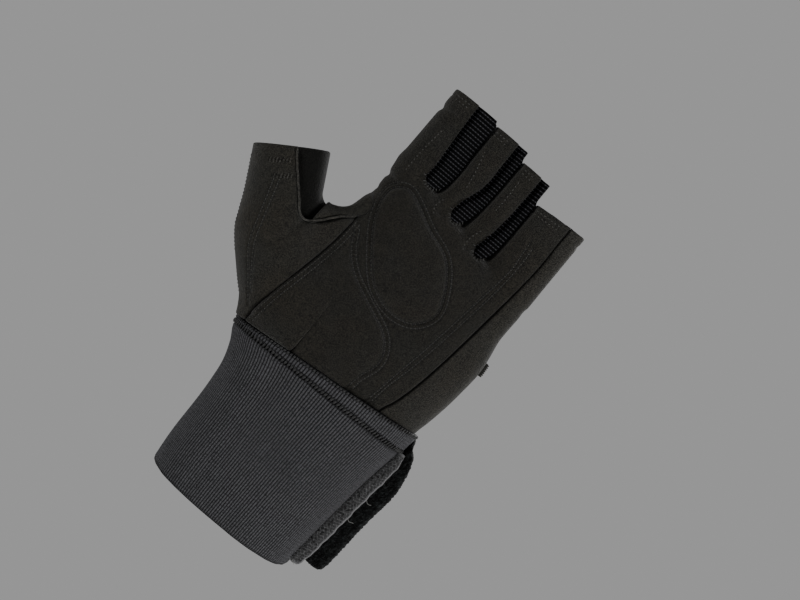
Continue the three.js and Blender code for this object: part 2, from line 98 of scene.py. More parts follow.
# Sections of the thumb: level, left, right, front, back and forward lean.
THUMB = [
    (-0.13, 0.38, 0.34, 0.58, 0.55, 0.04),
    (0.0, 0.43, 0.4, 0.655, 0.6, 0.07),
    (0.2, 0.55, 0.45, 0.69, 0.6, 0.14),
    (0.467, 0.636, 0.46, 0.62, 0.6, 0.28),
    (0.6, 0.6, 0.46, 0.57, 0.56, 0.35),
    (0.733, 0.552, 0.464, 0.53, 0.53, 0.41),
    (1.0, 0.503, 0.503, 0.5, 0.5, 0.48),
]
# Sections of the web: across, level, half width, depth and forward lean.
WEB = [
    (-0.592, 0.5, 0.061, 0.26, 0.21),
    (-0.531, 0.528, 0.061, 0.25, 0.19),
    (-0.48, 0.562, 0.051, 0.24, 0.155),
    (-0.434, 0.618, 0.051, 0.23, 0.12),
    (-0.393, 0.691, 0.046, 0.23, 0.095),
    (-0.367, 0.781, 0.046, 0.24, 0.07),
]
# Sections of the cuff: level and how far left, right and depth have gone to the palm's size.
CUFF = [
    (0.0, 0.0, 0.0, 0.0),
    (0.2, 0.13, 0.16, 0.1),
    (0.45, 0.18, 0.36, 0.2),
    (0.6, 0.25, 0.5, 0.35),
    (0.72, 0.36, 0.66, 0.5),
    (0.84, 0.62, 0.85, 0.75),
    (0.93, 0.93, 0.97, 0.95),
    (1.0, 1.0, 1.0, 1.0),
]


def curve_between(a, b, c, d, t):
    """A share of the way from b to c, on a smooth line through a, b, c and d."""
    return 0.5 * (2 * b + (c - a) * t + (2 * a - 5 * b + 4 * c - d) * t**2 + (3 * b - a - 3 * c + d) * t**3)


def smooth_table(rows, steps=12):
    """Rows of a table with smooth ones put in between, as columns."""
    rows = np.array(rows, float)
    padded = np.vstack([2 * rows[0] - rows[1], rows, 2 * rows[-1] - rows[-2]])
    shares = np.linspace(0, 1, steps, endpoint=False)
    out = [curve_between(*padded[i : i + 4], t) for i in range(len(rows) - 1) for t in shares]
    return np.array([*out, rows[-1]]).T


def columns_at(table, level, *columns):
    """Columns of a table of sections at a level."""
    t = smooth_table(table)
    return [np.interp(level, t[0], t[k]) for k in columns]


def smooth_line(points, step=1.2, closed=False):
    """A smooth line through points, as points about a step apart."""
    pts = np.array(points, float)
    if closed:
        pts = np.vstack([pts, pts[0]])
        padded = np.vstack([pts[-2], pts, pts[1]])
    else:
        padded = np.vstack([2 * pts[0] - pts[1], pts, 2 * pts[-1] - pts[-2]])
    out = []
    for i in range(len(pts) - 1):
        four = padded[i : i + 4]
        count = max(2, int(np.linalg.norm(four[2] - four[1]) / step))
        out += [curve_between(*four, t) for t in np.arange(count) / count]
    return np.array([*out, pts[-1]])


def height_of(level):
    return CUFF_HEIGHT + min(level, 1) * PALM_LENGTH + max(level - 1, 0) * STALL_LENGTH


def section_distance(dx, dy, left, right, front, back):
    """Distance from a rounded section, about right near its edge."""
    a = np.where(dx < 0, left, right)
    b = np.where(dy < 0, front, back)
    u = np.abs(dx) / a
    v = np.abs(dy) / b
    r = (u**ROUNDNESS + v**ROUNDNESS + 1e-9) ** (1 / ROUNDNESS)
    gx = (u / r) ** (ROUNDNESS - 1) / a
    gy = (v / r) ** (ROUNDNESS - 1) / b
    return (r - 1) / np.hypot(gx, gy)


def blend(a, b, k):
    """Union of two distances with a fillet."""
    h = np.clip(0.5 + 0.5 * (b - a) / k, 0, 1)
    return b + (a - b) * h - k * h * (1 - h)


def meet(a, b, k):
    """Overlap of two distances with a rounded edge."""
    return -blend(-a, -b, k)


def palm_distance(x, y, z):
    level = (z - CUFF_HEIGHT - CUFF_SLOPE * x) / (PALM_LENGTH + (WEB_SLOPE - CUFF_SLOPE) * x)
    left, right = (reach * PALM_WIDTH for reach in columns_at(PALM, level, 1, 2))
    front, back = (reach * PALM_DEPTH for reach in columns_at(PALM, level, 3, 4))
    centre = -PALM_FORWARD * PALM_DEPTH * np.clip(level, 0, 1)
    side = section_distance(x, y - centre, left, right, front, back)
    return meet(side, (level - 1) * PALM_LENGTH, 5)


def stall_shares(stall, z):
    web_height = height_of(1) + WEB_SLOPE * PALM_WIDTH * (stall[0] + stall[1]) / 2
    return (z - web_height) / (stall[4] * STALL_LENGTH)


def stall_distance(stall, x, y, z):
    share = stall_shares(stall, z)
    ends = [(stall[k] + (stall[k + 2] - stall[k]) * share) * PALM_WIDTH for k in (0, 1)]
    root = ROOT_INSET * np.clip(-share / STALL_ROOT, 0, 1)
    half = (ends[1] - ends[0]) / 2 + 0.3 - root
    centre = (ends[0] + ends[1]) / 2
    lean = stall[6] * FINGER_DEPTH * np.maximum(share, 0) ** 1.5
    middle = -PALM_FORWARD * PALM_DEPTH - lean
    depth = stall[5] * FINGER_DEPTH / 2 - root
    side = section_distance(x - centre, y - middle, half, half, depth, depth)
    return np.maximum(side, (-STALL_ROOT - share) * stall[4] * STALL_LENGTH)


THUMB_START = (-0.384 * PALM_WIDTH, CUFF_HEIGHT + 0.057 * PALM_LENGTH)


def to_thumb(x, z):
    """Millimetres across and along the thumb."""
    dx = x - THUMB_START[0]
    dz = z - THUMB_START[1]
    c, s = math.cos(THUMB_SPREAD), math.sin(THUMB_SPREAD)
    return dx * c + dz * s, dz * c - dx * s


def thumb_distance(x, y, z):
    across, along = to_thumb(x, z)
    level = along / THUMB_LENGTH
    left, right = (reach * THUMB_WIDTH for reach in columns_at(THUMB, level, 1, 2))
    front, back, lean = (reach * THUMB_DEPTH for reach in columns_at(THUMB, level, 3, 4, 5))
    side = section_distance(across, y + lean, left, right, front, back)
    return meet(side, (-0.13 - level) * THUMB_LENGTH, 4)


def web_distance(x, y, z):
    best = np.inf
    for across, level, half, depth, forward in smooth_table(WEB, 4).T:
        half, depth = half * PALM_WIDTH, depth * PALM_DEPTH
        flat = np.hypot(x - across * PALM_WIDTH, z - height_of(level))
        best = np.minimum(best, section_distance(flat, y + forward * PALM_DEPTH, half, half, depth, depth))
    return best


# How softly the gussets' cloth goes over from stall to stall.
BRIDGE = 11.0
# Distance that stands for clear space.
CLEAR = 12.0
# The grid on which the glove's form is worked out.
LOW = np.array([-102.0, -36.0, 64.0])
HIGH = np.array([58.0, 28.0, 220.0])
AXES = [np.arange(LOW[k], HIGH[k] + CELL, CELL) for k in range(3)]


def window(low, high):
    """The part of the grid between two corners: slices and coordinates."""
    cut = []
    for k in range(3):
        i = max(0, int((low[k] - LOW[k]) / CELL))
        j = min(len(AXES[k]), int((high[k] - LOW[k]) / CELL) + 2)
        cut.append(slice(i, j))
    x = AXES[0][cut[0]][:, None, None]
    y = AXES[1][cut[1]][None, :, None]
    z = AXES[2][cut[2]][None, None, :]
    return tuple(cut), x, y, z


def frontward(y):
    """Share from 0 at 7 mm in front of the glove's middle to 1 at 14 mm."""
    return np.clip((-7 - y) / 7, 0, 1)


def glove_fields():
    """Distance from the outside of the suede, and from that of cloth drawn over the gaps between stalls."""
    field = np.full([len(a) for a in AXES], CLEAR, np.float32)
    cut, x, y, z = window((-62, -36, 64), (58, 28, 186))
    field[cut] = np.minimum(field[cut], palm_distance(x, y, z))
    cut, x, y, z = window((-102, -36, 66), (-22, 24, 170))
    field[cut] = blend(field[cut], thumb_distance(x, y, z), 7 + 13 * frontward(y))
    cut, x, y, z = window((-74, -30, 108), (-24, 16, 160))
    field[cut] = blend(field[cut], web_distance(x, y, z), 4 + 6 * frontward(y))
    bridged = np.full(field.shape, CLEAR, np.float32)
    for stall in STALLS:
        low = min(stall[0], stall[2]) * PALM_WIDTH - 8
        high = max(stall[1], stall[3]) * PALM_WIDTH + 8
        cut, x, y, z = window((low, -36, 142), (high, 24, 220))
        d = stall_distance(stall, x, y, z)
        share = np.clip(stall_shares(stall, z), 0, 1)
        field[cut] = blend(field[cut], d, 3.5 - 3 * share)
        bridged[cut] = blend(bridged[cut], d, BRIDGE)
    return field, np.minimum(field, bridged)


def sample(field, points):
    """Values of a field on the grid at points, with straight lines between."""
    p = (points - LOW) / CELL
    limit = np.array(field.shape) - 2
    i = np.clip(np.floor(p).astype(int), 0, limit)
    f = np.clip(p - i, 0, 1)
    total = np.zeros(len(points))
    for c in range(8):
        bits = np.array([c & 1, (c >> 1) & 1, c >> 2])
        weight = np.prod(np.where(bits, f, 1 - f), axis=1)
        q = i + bits
        total += weight * field[q[:, 0], q[:, 1], q[:, 2]]
    return total


def slope_of(field, points):
    """Outward directions of a field at points."""
    out = np.zeros((len(points), 3))
    for k in range(3):
        step = np.zeros(3)
        step[k] = CELL
        out[:, k] = sample(field, points + step) - sample(field, points - step)
    return out / np.maximum(np.linalg.norm(out, axis=1, keepdims=True), 1e-9)


def surface_of(block, corner):
    """A closed surface where a block of distances is nought: points and four-sided faces."""
    inside = block < 0
    corners = np.zeros([n - 1 for n in block.shape], np.int8)
    shifts = [(i, j, k) for i in (0, 1) for j in (0, 1) for k in (0, 1)]
    a, b, c = block.shape
    for i, j, k in shifts:
        corners += inside[i : a - 1 + i, j : b - 1 + j, k : c - 1 + k]
    cells = np.argwhere((corners > 0) & (corners < 8))
    number = np.full(corners.shape, -1, np.int64)
    number[tuple(cells.T)] = np.arange(len(cells))
    total = np.zeros((len(cells), 3))
    count = np.zeros(len(cells))
    for s in shifts:
        for k in range(3):
            if s[k]:
                continue
            t = list(s)
            t[k] = 1
            va = block[tuple((cells + s).T)]
            vb = block[tuple((cells + t).T)]
            cross = (va < 0) != (vb < 0)
            f = np.where(cross, va / np.where(cross, va - vb, 1), 0)
            place = np.array(s, float) + f[:, None] * np.eye(3)[k]
            total += np.where(cross[:, None], place, 0)
            count += cross
    points = corner + (cells + total / count[:, None]) * CELL
    faces = []
    for k in range(3):
        u, v = (k + 1) % 3, (k + 2) % 3
        first = [slice(None)] * 3
        second = [slice(None)] * 3
        first[k], second[k] = slice(0, -1), slice(1, None)
        change = inside[tuple(first)] != inside[tuple(second)]
        edges = np.argwhere(change)
        edges = edges[(edges[:, u] > 0) & (edges[:, v] > 0)]
        edges = edges[(edges[:, u] < block.shape[u] - 1) & (edges[:, v] < block.shape[v] - 1)]
        ring = []
        for du, dv in ((1, 1), (0, 1), (0, 0), (1, 0)):
            cell = edges.copy()
            cell[:, u] -= du
            cell[:, v] -= dv
            ring.append(number[tuple(cell.T)])
        quad = np.stack(ring, axis=1)
        out = inside[tuple(edges.T)]
        quad[~out] = quad[~out][:, ::-1]
        faces.append(quad)
    return points, np.vstack(faces)


def relax(points, faces, times=2, amount=0.4):
    """Evens out small steps."""
    n = len(points)
    edges = np.vstack([faces[:, [i, (i + 1) % 4]] for i in range(4)])
    degree = np.bincount(edges[:, 0], minlength=n) + np.bincount(edges[:, 1], minlength=n)
    for _ in range(times):
        total = np.zeros_like(points)
        for k in range(3):
            total[:, k] = np.bincount(edges[:, 0], points[edges[:, 1], k], n)
            total[:, k] += np.bincount(edges[:, 1], points[edges[:, 0], k], n)
        points = points + amount * (total / degree[:, None] - points)
    return points


def distance_to(px, pz, path):
    """Distance of places in X and Z to a line."""
    path = np.asarray(path, float)
    best = np.full(np.shape(px), 1e9)
    for a, b in zip(path[:-1], path[1:]):
        d = b - a
        length = math.hypot(*d)
        if length < 1e-9:
            continue
        t = np.clip(((px - a[0]) * d[0] + (pz - a[1]) * d[1]) / length**2, 0, 1)
        best = np.minimum(best, np.hypot(px - a[0] - t * d[0], pz - a[1] - t * d[1]))
    return best


def area_distance(px, pz, outline):
    """Distance to a closed outline in X and Z, less than nought inside it."""
    outline = np.asarray(outline, float)
    ring = np.vstack([outline, outline[0]])
    best = distance_to(px, pz, ring)
    inside = np.zeros(np.shape(px), bool)
    for a, b in zip(ring[:-1], ring[1:]):
        if a[1] == b[1]:
            continue
        hit = (a[1] > pz) != (b[1] > pz)
        inside ^= hit & (px < (b[0] - a[0]) * (pz - a[1]) / (b[1] - a[1]) + a[0])
    return np.where(inside, -best, best)


# Lines on the glove, in X and Z.
GUSSETS = {
    "index_middle_gusset": [
        (-27, 222), (-26.6, 205), (-25.6, 190), (-24.8, 179), (-25.2, 174.6), (-23.2, 172), (-19, 172),
        (-16, 174.4), (-14.8, 179), (-14.5, 187), (-15.1, 198), (-15.1, 222)],
    "middle_ring_gusset": [
        (-2.7, 222), (-2, 200), (-2, 187), (-5, 177), (-6.4, 170.4), (-4.8, 167), (-1.6, 166.6), (1.4, 170),
        (3.2, 176), (4, 190), (4, 222)],
    "ring_little_gusset": [
        (15.4, 222), (15.4, 195), (14.8, 180), (13.2, 169), (12, 164.4), (13.4, 161.2), (16.6, 161),
        (19.2, 164), (20.5, 170), (20.9, 185), (20.9, 222)],
}
WEB_OUTLINE = [(-50.5, 124.8), (-47.5, 129), (-44, 134), (-40, 138), (-36.6, 140.6), (-34.6, 143),
               (-34.2, 147), (-36, 151), (-39, 153.3), (-44, 152), (-50, 145), (-51, 133)]
THENAR_SEAM = [(-47, 60), (-45.3, 80), (-44.3, 88), (-43, 95), (-40.5, 107), (-38.5, 118), (-37.2, 128),
               (-36.8, 140.5)]
SIDE_SEAM = [(24, 60), (26, 80), (29, 88), (32, 100), (34.8, 118), (37.5, 142), (39.2, 160), (40, 175),
             (39.5, 190), (39.2, 222)]
THUMB_SEAM = [(-83, 158), (-77, 149), (-73, 143.5), (-67, 137), (-60, 129.5), (-56.5, 125.6), (-53, 124.6),
              (-50.6, 126)]
OVAL_PAD = [(-31.5, 147), (-24, 135), (-12, 122), (1, 117), (12.5, 119.5), (18.3, 129), (14, 141),
            (5, 151.5), (-8, 156.5), (-18, 161.5), (-27, 164.5), (-33.5, 159)]
HEEL_PAD = [(-44.5, 76), (-42, 92), (-39, 108), (-36.6, 122), (-35.4, 137), (-33.5, 134.5), (-29, 127),
            (-21, 120), (-9, 114.5), (5, 108.5), (11, 102), (12.3, 95), (9.5, 87), (8, 76)]
OUTER_ROW = [(18.2, 79), (19.5, 85), (21.5, 98), (24, 112), (26.3, 128), (28.5, 145), (30, 156), (31, 166),
             (30.2, 174), (29.6, 181)]
OUTER_ROW_2 = [(20.4, 80), (22, 92), (25, 105), (27.5, 120), (30, 138), (31.8, 152), (32.7, 164),
               (32.6, 174), (31.8, 181)]
THUMB_ROW = [(-76, 131.5), (-73.5, 124), (-70, 113), (-66, 101), (-60, 93), (-53, 84.5), (-48.5, 79)]
THUMB_ROW_2 = [(-73.2, 131), (-71, 124), (-67.6, 113), (-63.5, 101.5), (-57.5, 92.5), (-51.5, 84.5)]
THUMB_CROSS = [(-81.8, 134.8), (-77, 138.4), (-72.6, 142)]
THUMB_CROSS_2 = [(-76, 130.8), (-72, 133.5), (-68, 136.3)]
PIPING = THUMB_SEAM[1:] + [(-46.8, 129.6), (-42.8, 134.8), (-39.4, 138), (-36.4, 140.2)]
# Folds of the suede: a line in X and Z, how wide and how deep.
PALM_FOLDS = [
    ([(-44, 166), (-38, 163.8), (-34, 163)], 1.5, 1.0),
    ([(-44, 157.5), (-37, 156)], 1.3, 0.5),
    ([(-44, 203.5), (-37, 201.5), (-33, 202)], 1.6, 0.9),
    ([(-9.5, 165.5), (-7.6, 170), (-6, 176)], 1.8, 1.1),
    ([(9.5, 161), (11.4, 164.5), (12.6, 170)], 1.6, 0.9),
    ([(-27, 169.8), (-26, 173), (-26, 178)], 1.5, 0.7),
    ([(-36.5, 140), (-33.5, 132), (-31, 124)], 2.4, 0.5),
    ([(-13, 79), (-12.5, 86), (-13.5, 93)], 1.6, 0.35),
]
THUMB_FOLDS = [
    ([(-52.5, 123.5), (-54.6, 115), (-59.4, 106)], 2.0, 0.9),
    ([(-53.4, 123), (-53.6, 112), (-54.6, 103), (-53, 93)], 2.4, 0.6),
    ([(-59, 118), (-62, 110), (-62.4, 103), (-60.5, 97)], 2.2, 0.45),
]


# The stalls' rims: X and height.
RIMS = [(-90, 212.6), (-16, 212.6), (-15.9, 211.2), (3.3, 210.6), (3.4, 206.3), (20.2, 205.4),
        (20.4, 195.6), (60, 198.3)]


def rim_height(px):
    return np.interp(px, *zip(*RIMS))


def cuff_top(px):
    return CUFF_HEIGHT + CUFF_SLOPE * px


def outer_limits(px, pz):
    """Less than nought where the suede may be, seen from the front."""
    stall_top = np.where(px > -45, pz - rim_height(px), -60.0)
    thumb_top = np.where(px < -47, to_thumb(px, pz)[1] - THUMB_LENGTH, -50.0)
    return np.maximum(np.maximum(stall_top, thumb_top), cuff_top(px) + 0.15 - pz)


VALLEYS = [
    ((-15.9, 177), (-15.9, 230)),
    ((2.4, 174), (3.4, 230)),
    ((19.7, 168), (20.2, 230)),
]


def valley_distance(px, y, pz):
    """Clear space between neighbouring stalls, which touch halfway back."""
    best = np.full(px.shape, -9.0)
    for line in VALLEYS:
        d = distance_to(px, pz, line)
        best = np.maximum(best, 0.55 - d)
    share = np.clip((pz - height_of(1)) / STALL_LENGTH, 0, 1.1)
    middle = -PALM_FORWARD * PALM_DEPTH - 0.32 * FINGER_DEPTH * share**1.5
    shut = np.clip(6 - np.abs(y - middle[:, None, :]), 0, 4) * 0.5
    return best[:, None, :] - shut


def middle_depth(px, pz):
    """Depth at which the palm side meets the back."""
    level = np.clip((pz - CUFF_HEIGHT) / PALM_LENGTH, 0, 1)
    middles = [PALM_WIDTH * (stall[0] + stall[1]) / 2 for stall in STALLS]
    lean, length = (np.interp(px, middles, [stall[k] for stall in STALLS]) for k in (6, 4))
    root = height_of(1) + WEB_SLOPE * np.clip(px, middles[0], middles[-1])
    share = np.clip((pz - root) / (length * STALL_LENGTH), 0, 1.1)
    palm = -PALM_FORWARD * PALM_DEPTH * level - lean * FINGER_DEPTH * share**1.5
    side = np.clip((px - 24) / 10, 0, 1) * 0.2 * FINGER_DEPTH
    lean = columns_at(THUMB, to_thumb(px, pz)[1] / THUMB_LENGTH, 5)[0]
    thumb = -lean * THUMB_DEPTH
    thumbward = np.clip((-36 - px) / 6, 0, 1) * np.clip((158 - pz) / 8, 0, 1)
    return palm + side + (thumb - palm) * thumbward


def wall_block(field, outline, front, low, high, sunk=0.0, keep_out=(), slit=True):
    """Distances from a wall inside an outline, on the palm's side or the back's, and their first corner."""
    cut, x, y, z = window(low, high)
    px, pz = np.broadcast_arrays(x[:, 0, :], z[:, 0, :])
    flat = outer_limits(px, pz)
    if outline is not None:
        flat = np.maximum(flat, area_distance(px, pz, outline) - OVERLAP)
    for other in keep_out:
        flat = np.maximum(flat, -OVERLAP - area_distance(px, pz, other))
    outer = field[cut] + (sunk(px, pz)[:, None, :] if callable(sunk) else sunk)
    if slit:
        outer = np.maximum(outer, valley_distance(px, y, pz))
    shell = np.maximum(outer, -(outer + WALL))
    block = meet(shell, flat[:, None, :] + 0 * y, ROUND_EDGE)
    middle = middle_depth(px, pz)[:, None, :]
    block = meet(block, y - middle - OVERLAP if front else middle - OVERLAP - y, ROUND_EDGE)
    corner = np.array([AXES[k][cut[k].start] for k in range(3)])
    pad = np.full([n + 2 for n in block.shape], 5.0, np.float32)
    pad[1:-1, 1:-1, 1:-1] = block
    return pad, corner - CELL


def add_object(name, data):
    obj = bpy.data.objects.new(name, data)
    bpy.context.scene.collection.objects.link(obj)
    return obj


def new_mesh(name, points, faces):
    """An object from points in millimetres and lists of their numbers."""
    mesh = bpy.data.meshes.new(name)
    mesh.from_pydata((points * MM).tolist(), [], faces)
    mesh.validate()
    mesh.polygons.foreach_set("use_smooth", [True] * len(mesh.polygons))
    return add_object(name, mesh)


def settle(obj, slot, *nodes):
    """Hides the CAD nodes that a piece stands for and hangs the piece under the root. The slot, what a
    piece is made of, is not used.
    """
    if nodes:
        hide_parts(*nodes)
    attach(obj, "root")
    return obj


def largest(points, faces):
    """Drops loose specks: keeps the largest joined set of faces."""
    label = np.arange(len(points))
    while True:
        low = label[faces].min(axis=1)
        new = label.copy()
        for k in range(4):
            np.minimum.at(new, faces[:, k], low)
        new = new[new]
        if (new == label).all():
            break
        label = new
    main = np.bincount(label[faces[:, 0]]).argmax()
    faces = faces[label[faces[:, 0]] == main]
    used = np.unique(faces)
    number = np.zeros(len(points), int)
    number[used] = np.arange(len(used))
    return points[used], number[faces]


def add_value(obj, name, values):
    """A number for each point, for the materials."""
    attribute = obj.data.attributes.new(name, "FLOAT", "POINT")
    attribute.data.foreach_set("value", np.asarray(values, np.float32))


def bump_line(px, pz, path, width, closed=False):
    """1 on a line and less away from it."""
    line = smooth_line(path, 1.5, closed)
    d = distance_to(px, pz, line)
    return np.exp(-((d / width) ** 2))


def pad_height(px, pz, outline, height, edge):
    """Swell of a pad under the suede."""
    d = area_distance(px, pz, smooth_line(outline, 2.5, True))
    t = np.clip(-d / edge, 0, 1)
    return height * np.sin(t * math.pi / 2) ** 0.8


def row_beside(path, offset, step=1.2, closed=False):
    """A line beside another, to its left."""
    line = smooth_line(path, step, closed)
    along = np.gradient(line, axis=0)
    along /= np.maximum(np.linalg.norm(along, axis=1, keepdims=True), 1e-9)
    return line + offset * np.stack([-along[:, 1], along[:, 0]], axis=1)


OVAL_OUTER = row_beside(OVAL_PAD, -2.1, 2.5, True)[:-1]
HEEL_EDGE = HEEL_PAD[4:]
HEEL_OUTER = row_beside(HEEL_EDGE, 2.1, 2.5)
THENAR_ROWS = [row_beside(THENAR_SEAM, offset, 3) for offset in (-1.3, -3.3)]


def fold_depth(px, pz, folds):
    return sum(depth * bump_line(px, pz, line, width) for line, width, depth in folds)


def grooves(px, pz, rows):
    """Relief of grooves and their seam values, from rows of a line, its width, its depth and whether it is
    closed. The seam values paint shade into the grooves.
    """
    high = np.zeros(len(px))
    seam = np.zeros(len(px))
    for path, width, depth, closed in rows:
        d = bump_line(px, pz, path, width, closed)
        high -= depth * d
        seam = np.maximum(seam, d * min(1, depth))
    return high, seam


def palm_relief(px, pz):
    """How far the suede of the palm stands out, and how deep in a seam it is, which sets the shade painted
    into its seams and grooves.
    """
    high, seam = grooves(px, pz, (
        (OVAL_PAD, 0.8, 0.8, True),
        (OVAL_OUTER, 0.8, 0.6, True),
        (HEEL_EDGE, 0.8, 0.65, False),
        (HEEL_OUTER, 0.8, 0.55, False),
        (OUTER_ROW, 0.7, 0.55, False),
        (OUTER_ROW_2, 0.7, 0.55, False),
        (THENAR_ROWS[0], 0.6, 0.35, False),
        (THENAR_ROWS[1], 0.6, 0.35, False),
        (THENAR_SEAM, 0.6, 1.0, False),
        (SIDE_SEAM, 0.55, 1.1, False),
    ))
    for line in GUSSETS.values():
        d = bump_line(px, pz, line, 1.3)
        high -= 0.7 * d
        seam = np.maximum(seam, 0.5 * d)
    high -= fold_depth(px, pz, PALM_FOLDS)
    high += pad_height(px, pz, OVAL_PAD, 1.8, 8)
    high += pad_height(px, pz, HEEL_PAD, 1.5, 8)
    hem = np.exp(-(((pz - rim_height(px) + 3.4) / 0.6) ** 2))
    return high - 0.25 * hem, seam


def dress(field, points, relief):
    """Moves the outer points of a wall by a relief. Returns the points and the seam values, which set the
    shade painted into seams and grooves.
    """
    depth = sample(field, points)
    out = np.clip((depth + WALL * 0.75) / (WALL * 0.5), 0, 1)
    slope = slope_of(field, points)
    out = out * np.clip(0.9 - 1.8 * slope[:, 1], 0, 1)
    high, seam = relief(points[:, 0], points[:, 2])
    return points + slope * (high * out)[:, None], seam * out


def thin_out(obj, share):
    """Fewer faces on the plain back."""
    change = obj.modifiers.new("thin_out", "DECIMATE")
    change.ratio = share
    graph = bpy.context.evaluated_depsgraph_get()
    mesh = bpy.data.meshes.new_from_object(obj.evaluated_get(graph))
    obj.modifiers.clear()
    obj.data = mesh


def make_wall(name, field, outline, nodes, slot, low, high, front=True, relief=None, **more):
    """One panel of the glove, as a piece that stands for CAD nodes."""
    block, corner = wall_block(field, outline, front, low, high, **more)
    points, faces = largest(*surface_of(block, corner))
    points = relax(points, faces)
    seam = np.zeros(len(points))
    if relief:
        points, seam = dress(field, points, relief)
    obj = new_mesh(name, points, faces.tolist())
    # The seam value darkens the suede's colour along seams and grooves: painted shade.
    add_value(obj, "seam", seam)
    return settle(obj, slot, *nodes)


def palm_keep_out():
    gussets = [smooth_line(line, 1.5) for line in GUSSETS.values()]
    return [*gussets, smooth_line(WEB_OUTLINE, 2, True)]


def palm_outline():
    """The palm panel lies between the thenar seam and the side seam."""
    corners = [(-36.4, 146), (-46, 152), (-46, 224)]
    return [*smooth_line(THENAR_SEAM, 3), *corners, *smooth_line(SIDE_SEAM, 3)[::-1]]


def side_outline():
    return [*smooth_line(SIDE_SEAM, 3), (70, 224), (70, 60)]


def thumb_outline():
    web = [(-40, 137.8), (-44, 133.8), (-47.5, 128.8), (-50.4, 125.3)]
    corners = [(-110, 170), (-110, 60)]
    return [*smooth_line(THENAR_SEAM, 3), *web, *smooth_line(THUMB_SEAM, 2)[::-1], *corners]


def thumb_side_outline():
    seam = smooth_line(THUMB_SEAM, 2) - (1.2, 1)
    return [*seam, (-50, 128), (-49, 134), (-44, 170), (-83, 170)]


def side_relief(px, pz):
    seam = bump_line(px, pz, SIDE_SEAM, 0.55)
    hem = np.exp(-(((pz - 192.8) / 1.1) ** 2)) * (px > 20)
    # The seam value paints shade along the side seam.
    return -1.1 * seam - 0.35 * hem, seam


def thumb_relief(px, pz):
    high, seam = grooves(px, pz, (
        (THENAR_SEAM, 0.6, 1.0, False),
        (THUMB_ROW, 0.65, 0.4, False),
        (THUMB_ROW_2, 0.65, 0.4, False),
        (THUMB_CROSS, 0.9, 0.3, False),
        (THUMB_CROSS_2, 0.9, 0.3, False),
        (PIPING, 1.0, 1.1, False),
    ))
    return high - fold_depth(px, pz, THUMB_FOLDS), seam


def web_relief(px, pz):
    d = bump_line(px, pz, PIPING, 0.8)
    edge = bump_line(px, pz, WEB_OUTLINE[4:9], 0.8)
    # The seam value paints shade along the piping and the web's edge.
    return 0.5 - 1.0 * d - 0.6 * edge, np.maximum(d, edge)


def back_relief(px, pz):
    """Only the folds that reach round to the back."""
    near = np.clip((-34 - px) / 3, 0, 1) * (pz > 150)
    return -near * fold_depth(px, pz, PALM_FOLDS[:3]), np.zeros(len(px))


def under_suede(outline):
    """The cloth goes on under the suede on its left and below."""
    left = [(x - 2, z - 0.6) for x, z in outline[:5]]
    return left + [(x, z - 1.8) for x, z in outline[5:7]] + outline[7:]


def gusset_sink(edge):
    """The cloth is deep beside the suede on its left and comes up to its right."""
    line = smooth_line(edge, 1.5)

    def sink(px, pz):
        d = distance_to(px, pz, line)
        return 0.7 + 2.3 * np.exp(-((d / 2.6) ** 2))

    return sink


def thumb_side_sink(px, pz):
    """The thumb's inner side falls away to the web."""
    near = distance_to(px, pz, [(-57.5, 126.5), (-51, 127)])
    beside = distance_to(px, pz, THUMB_SEAM[:7])
    return 0.5 + 1.6 * np.exp(-((near / 5) ** 2)) + 0.7 * np.exp(-((beside / 2.2) ** 2))


def build_walls():
    field, bridged = glove_fields()
    walls = {}
    walls["palm"] = make_wall(
        "palm_suede", field, palm_outline(), ("palm_panel", "oval_pad", "heel_pad"), "suede",
        (-52, -34, 68), (44, 12, 219), relief=palm_relief, keep_out=palm_keep_out())
    walls["side"] = make_wall(
        "side_suede", field, side_outline(), ("little_side_panel",), "suede",
        (20, -30, 70), (57, 20, 206), relief=side_relief)
    walls["thumb"] = make_wall(
        "thumb_suede", field, thumb_outline(), ("thumb_panel",), "suede",
        (-100, -34, 66), (-32, 10, 166), relief=thumb_relief)
    walls["thumb_side"] = make_wall(
        "thumb_side_suede", field, thumb_side_outline(), ("thumb_side_panel",), "suede",
        (-90, -34, 118), (-42, 10, 166), sunk=thumb_side_sink)
    walls["web"] = make_wall(
        "web_suede", field, smooth_line(WEB_OUTLINE, 2, True), ("web_binding",), "suede",
        (-56, -30, 118), (-30, 10, 160), relief=web_relief)
    for (name, outline), (low, high) in zip(GUSSETS.items(), ((-34, -8), (-12, 10), (6, 27))):
        walls[name] = make_wall(
            name + "_mesh", bridged, smooth_line(under_suede(outline), 1.5), (name,), "ribbed_mesh",
            (low, -34, 150), (high, 6, 219), sunk=gusset_sink(outline[:5]), slit=False)
    walls["back"] = make_wall(
        "back_cloth", field, None, ("back_panel",), "stretch_cloth",
        (-100, -34, 66), (57, 26, 219), front=False, relief=back_relief, sunk=0.3)
    thin_out(walls["back"], 0.45)
    return walls


def cuff_reaches(level):
    """Reaches of the cuff's outer face left, right, front and back, in millimetres."""
    left, right, depth = columns_at(CUFF, level, 1, 2, 3)
    heel = PALM[1]
    wrist, deep = WRIST_WIDTH / 2, WRIST_DEPTH / 2
    return (
        wrist + (heel[1] * PALM_WIDTH + CUFF_PROUD - wrist) * left,
        wrist + (heel[2] * PALM_WIDTH + CUFF_PROUD - wrist) * right,
        deep + (heel[3] * PALM_DEPTH + CUFF_PROUD - deep) * depth,
        deep + (heel[4] * PALM_DEPTH + CUFF_PROUD - deep) * depth,
    )


